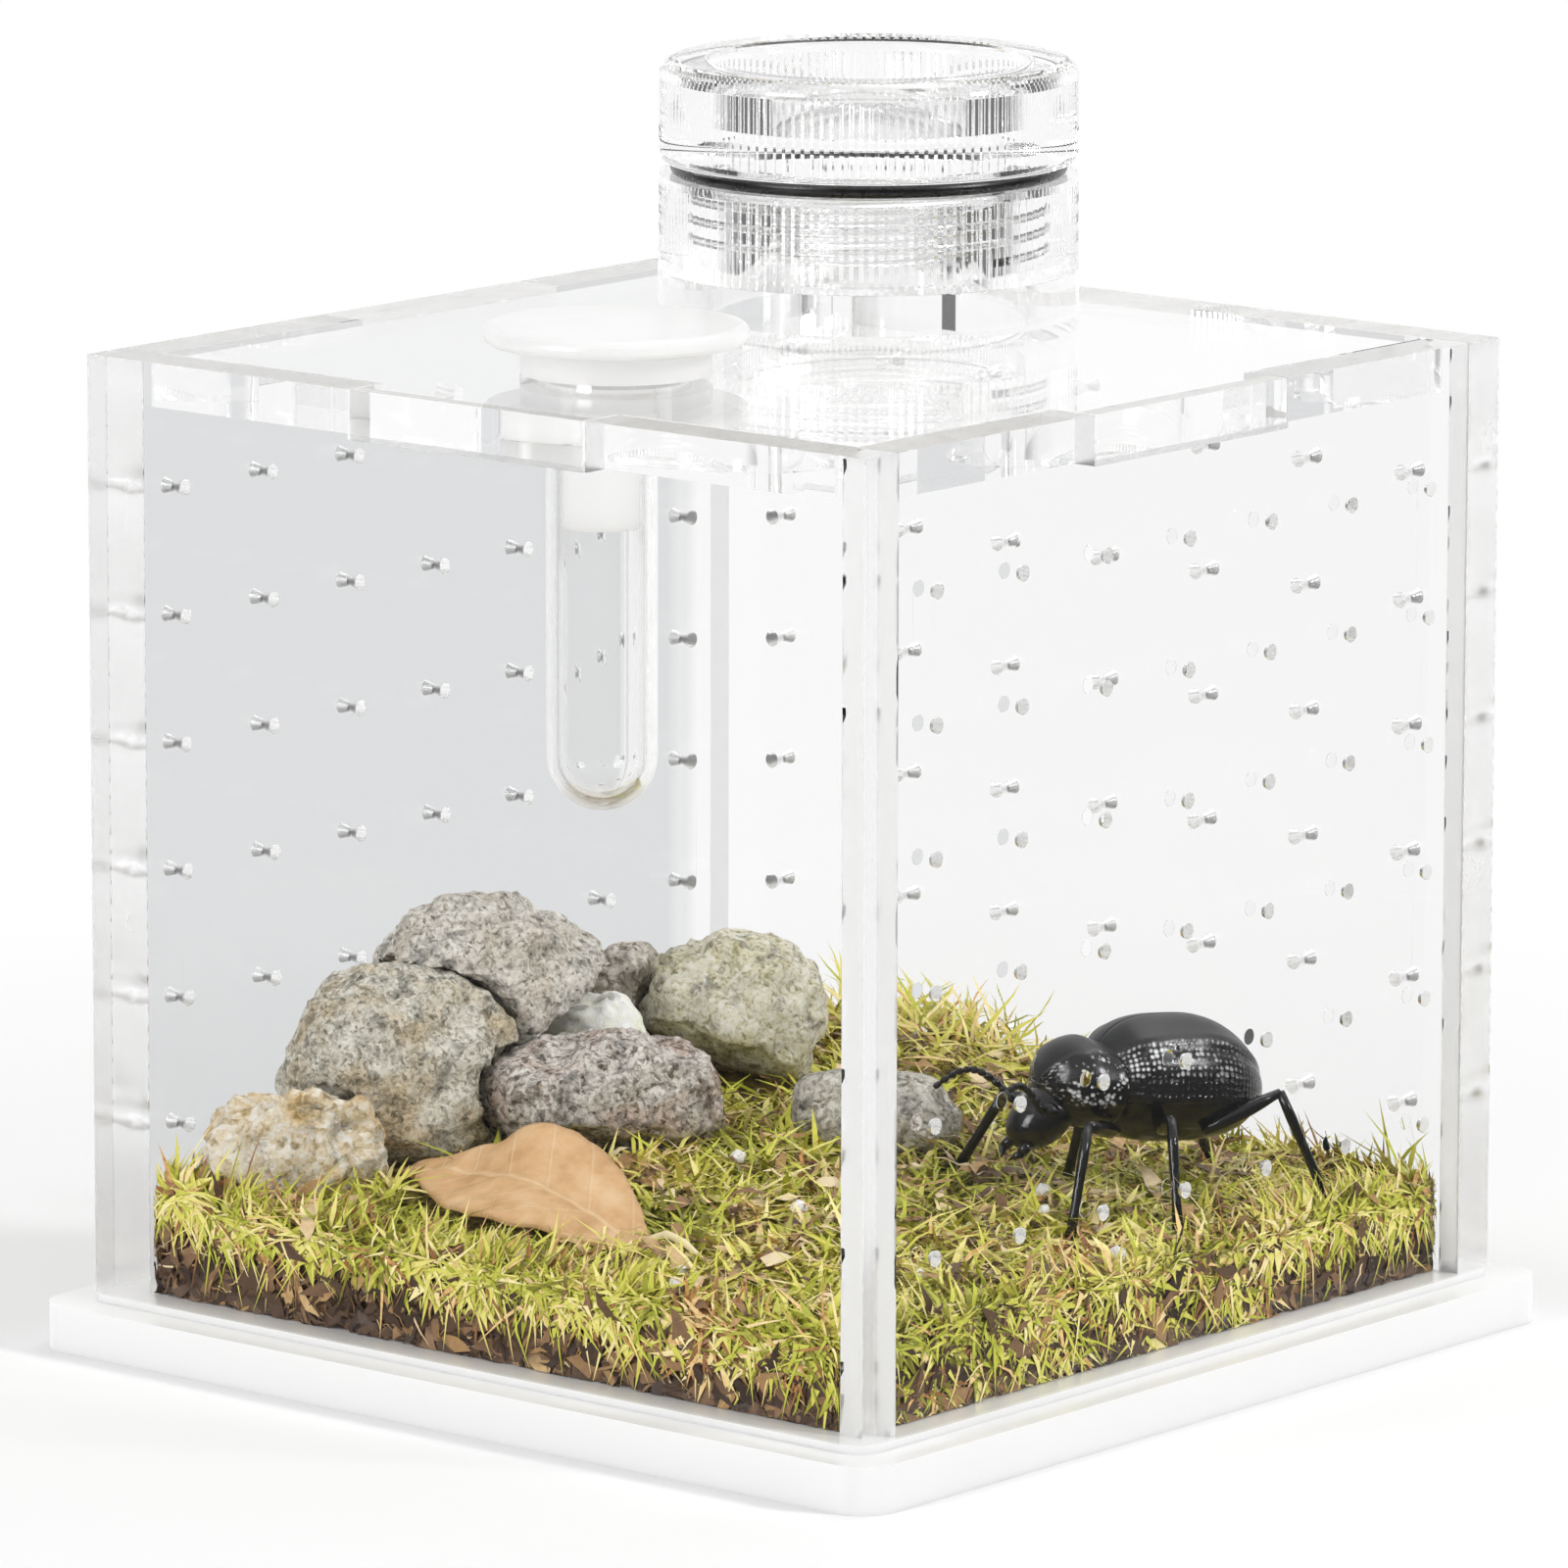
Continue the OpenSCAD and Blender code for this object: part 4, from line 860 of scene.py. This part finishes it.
HEAD = Vector((8 * MM, 0.5 * WING.y, 0.42 * WING.z))
HEAD_NOSE, HEAD_TAIL = 1.8, 2.4
HEAD_X, HEAD_DROP, HEAD_TILT = THORAX_X + 4.6 * MM, 3.8 * MM, math.radians(42)
EYE_R = 0.85 * MM
head_frame = Matrix.Translation((HEAD_X, 0, -HEAD_DROP)) @ Matrix.Rotation(HEAD_TILT, 4, "Y")
bm = bmesh.new()
pod(bm, HEAD, HEAD_NOSE, HEAD_TAIL, 0)
for way in (1, -1):
    eye = Matrix.Translation((-0.4 * MM, way * 2.5 * MM, 1.1 * MM))
    bmesh.ops.create_uvsphere(bm, u_segments=20, v_segments=12, radius=EYE_R, matrix=eye)
    # Jaws that curve in towards each other
    hinge, bend, point = (Vector((x, way * y, z)) * MM
                          for x, y, z in ((3.0, 1.5, -0.4), (4.5, 1.7, -0.5), (5.6, 0.7, -0.6)))
    spindle(bm, hinge, bend, [0.55 * MM, 0.6 * MM, 0.5 * MM])
    spindle(bm, bend, point, [0.5 * MM, 0.3 * MM, 0.06 * MM])
close(bm)
bm.transform(beetle_frame @ head_frame)
piece("head", bm, smooth_shell, "box", ("beetle_head",))

# Legs in the beetle's frame, front to hind: hip and the knee's rise
HIPS = [Vector((8.5, 3.9, 0)) * MM, Vector((3.5, 3.9, 0)) * MM, Vector((-1, 5, 0)) * MM]
KNEES = [2 * MM, 2.4 * MM, 3.4 * MM]
# Thickest thigh, and how each part's thickness runs from end to end, as a share of its thickest
THIGH = 0.85 * MM
THIGH_RUN = (0.55, 0.95, 1.0, 0.8, 0.5)
SHIN_RUN = (0.55, 0.66, 0.58, 0.58, 0.7)
TOE_RUN = (0.2, 0.38, 0.42, 0.22)
BEAD_RUN = (0.55, 0.9, 1.0, 0.6)
TOES, BEADS = 5, 11
for side, way in (("left", 1), ("right", -1)):
    for number, leg in enumerate(("front", "mid", "hind")):
        hip = HIPS[number].copy()
        hip.y *= way
        hip.z = -0.36 * WING.z
        hip = beetle_frame @ hip
        foot = beetle_frame @ FEET[side][number]
        foot.z = moss_height(foot.x, foot.y) + 0.4 * MM
        run = Vector((foot.x - hip.x, foot.y - hip.y, 0))
        knee = hip + run * 0.5 + Vector((0, 0, KNEES[number]))
        ankle = foot - run * 0.2 + Vector((0, 0, 1.2 * MM))
        bm = bmesh.new()
        spindle(bm, hip, knee, [THIGH * r for r in THIGH_RUN])
        spindle(bm, knee, ankle, [THIGH * r for r in SHIN_RUN])
        for k in range(TOES):
            a, b = ankle.lerp(foot, k / TOES), ankle.lerp(foot, (k + 1) / TOES)
            spindle(bm, a, b, [THIGH * r for r in TOE_RUN], sides=10)
        for way_out in (0.5, -0.5):
            claw = run.normalized() + way_out * Vector((-run.y, run.x, 0)).normalized()
            spindle(bm, foot, foot + claw * 1.1 * MM - Vector((0, 0, 0.5 * MM)), [0.14 * MM, 0.03 * MM], sides=8)
        close(bm)
        bm.loops.layers.uv.new("girth")
        piece(f"leg_{leg}_{side}", bm, smooth_shell, "box", (f"beetle_leg_{leg}_{side}",))
    # Feeler of beads, arching out from the brow
    root = beetle_frame @ Vector((HEAD_X + 1.5 * MM, way * 0.4 * HEAD.y, -HEAD_DROP + 1 * MM))
    end = beetle_frame @ Vector((HEAD_X + 9 * MM, way * 6 * MM, -HEAD_DROP + 2 * MM))
    points = [root.lerp(end, k / BEADS) + Vector((0, 0, 2.6 * MM * math.sin(math.pi * k / BEADS)))
              for k in range(BEADS + 1)]
    bm = bmesh.new()
    for k in range(BEADS):
        thick = (0.46 - 0.012 * k) * MM
        spindle(bm, points[k], points[k + 1], [thick * r for r in BEAD_RUN], sides=10)
    close(bm)
    bm.loops.layers.uv.new("girth")
    piece(f"feeler_{side}", bm, smooth_shell, "box", (f"beetle_feeler_{side}",))


# Stage: floor, light and camera

FLOOR_WHITE = 0.91
FADE_FROM, FADE_TO = 0.08, 0.24          # distance from the box over which the floor turns to pure white
AMBIENT = 0.55                           # world's light on matt faces
DIM, OVERHEAD = 0.15, 0.6                # what is mirrored of the room on the camera's side and above
GUIDED = 1.0                             # what comes out after several reflections inside a plate
CAMERA_SIDE = Vector((0.64, -0.768, 0))
floor_mesh = bmesh.new()
bmesh.ops.create_grid(floor_mesh, x_segments=2, y_segments=2, size=6)
floor_data = bpy.data.meshes.new("studio_floor")
floor_mesh.to_mesh(floor_data)
floor_mesh.free()
floor = bpy.data.objects.new("studio_floor", floor_data)
bpy.context.scene.collection.objects.link(floor)
floor.visible_glossy = False

mat, tree, place = start("studio_paper")
path = add(tree, "LightPath")
seen = add(tree, "Math", {0: path.outputs["Is Camera Ray"], 1: path.outputs["Is Transmission Ray"]},
           operation="MAXIMUM")
away = add(tree, "VectorMath", {0: place}, operation="LENGTH")
fade = add(tree, "MapRange", {"Value": away.outputs["Value"], "From Min": FADE_FROM, "From Max": FADE_TO},
           interpolation_type="SMOOTHSTEP")
white = add(tree, "Math", {0: seen, 1: fade}, operation="MULTIPLY")
paper = add(tree, "BsdfDiffuse", {"Color": (FLOOR_WHITE, FLOOR_WHITE, FLOOR_WHITE, 1)})
glow = add(tree, "Emission", {"Color": (1, 1, 1, 1), "Strength": 1.0})
seen_floor = add(tree, "MixShader", {0: white, 1: paper, 2: glow})
# Mirrored rays pass it and find the world's dim room
mirrored = add(tree, "Math", {0: path.outputs["Glossy Depth"], 1: 0.5}, operation="GREATER_THAN")
passed = add(tree, "BsdfTransparent")
mix = add(tree, "MixShader", {0: mirrored, 1: seen_floor, 2: passed})
add(tree, "OutputMaterial", {"Surface": mix})
floor_data.materials.append(mat)

# The world is white where it is seen straight or through the clear plates. What mirrors it once finds white
# behind the object, less of it overhead and a dim room elsewhere, which keeps blacks deep and gives edges a line.
# What is led along inside a plate by several reflections comes out white.
world = bpy.data.worlds.new("studio")
bpy.context.scene.world = world
world.use_nodes = True
tree = world.node_tree
tree.nodes.clear()
path = add(tree, "LightPath")
way = add(tree, "TexCoord").outputs["Generated"]
facing = add(tree, "VectorMath", {0: way, 1: CAMERA_SIDE}, operation="DOT_PRODUCT")
behind = add(tree, "MapRange", {"Value": facing.outputs["Value"], "From Min": -0.65, "From Max": -0.3,
                                "To Min": 1.0, "To Max": DIM})
height = add(tree, "SeparateXYZ", {0: way})
overhead = add(tree, "MapRange", {"Value": height.outputs["Z"], "From Min": 0.25, "From Max": 0.6,
                                  "To Min": 0.0, "To Max": OVERHEAD})
room = add(tree, "Math", {0: behind, 1: overhead}, operation="MAXIMUM")
mirrored = add(tree, "Math", {0: path.outputs["Glossy Depth"], 1: 0.5}, operation="GREATER_THAN")
once = add(tree, "Mix", {0: mirrored, 2: 1.0, 3: room})
led = add(tree, "Math", {0: path.outputs["Glossy Depth"], 1: 1.5}, operation="GREATER_THAN")
clear_view = add(tree, "Mix", {0: led, 2: once, 3: GUIDED})
sharp = add(tree, "Math", {0: path.outputs["Is Glossy Ray"], 1: path.outputs["Is Transmission Ray"]},
            operation="MAXIMUM")
view = add(tree, "Mix", {0: sharp, 2: AMBIENT, 3: clear_view})
level = add(tree, "Mix", {0: path.outputs["Is Camera Ray"], 2: view, 3: 1.0})
sky = add(tree, "Background", {"Color": (1, 1, 1, 1), "Strength": level})
add(tree, "OutputWorld", {"Surface": sky})


def softbox(name, place, aim, width, height, share):
    """Area lamp. A share of 1 alone lights a facing white card at the aim to white."""
    data = bpy.data.lights.new(name, "AREA")
    data.shape = "RECTANGLE"
    data.size = width
    data.size_y = height
    gap = Vector(aim) - Vector(place)
    data.energy = share * math.pi ** 2 * gap.length_squared
    lamp = bpy.data.objects.new(name, data)
    lamp.location = place
    lamp.rotation_euler = gap.to_track_quat("-Z", "Y").to_euler()
    bpy.context.scene.collection.objects.link(lamp)


softbox("top_softbox", (-0.05, 0.32, 0.75), aim=(0, 0, 0.03), width=0.5, height=0.5, share=0.22)
softbox("right_softbox", (0.62, 0.18, 0.42), aim=(0.02, 0.02, 0.03), width=0.12, height=0.17, share=0.43)
softbox("front_softbox", (-0.15, -0.92, 0.45), aim=(0, 0, 0.03), width=0.4, height=0.5, share=0.39)

# Light goes through many faces of clear plastic before it leaves the box
BOUNCES = 40
for limit in ("max_bounces", "glossy_bounces", "transmission_bounces", "transparent_max_bounces"):
    setattr(bpy.context.scene.cycles, limit, BOUNCES)

# Camera fitted to the box's corners in the photograph
AZIMUTH, ELEVATION, ROLL = math.radians(39.84), math.radians(10.82), math.radians(0.10)
AIM = Vector((-1.57, 0, 56.39)) * MM
DISTANCE = 1186.9 * MM
FOCAL_PX, IMAGE_PX, SENSOR_MM = 12043.5, 1600, 36
back = Vector((math.sin(AZIMUTH) * math.cos(ELEVATION), -math.cos(AZIMUTH) * math.cos(ELEVATION),
               math.sin(ELEVATION)))
right = Vector((math.cos(AZIMUTH), math.sin(AZIMUTH), 0))
turned = Matrix((right, back.cross(right), back)).transposed() @ Matrix.Rotation(ROLL, 3, "Z")
camera_data = bpy.data.cameras.new("camera")
camera_data.sensor_width = SENSOR_MM
camera_data.lens = SENSOR_MM * FOCAL_PX / IMAGE_PX
camera = bpy.data.objects.new("camera", camera_data)
camera.matrix_world = Matrix.Translation(AIM + back * DISTANCE) @ turned.to_4x4()
bpy.context.scene.collection.objects.link(camera)
bpy.context.scene.camera = camera
bpy.context.scene.view_settings.view_transform = "Standard"
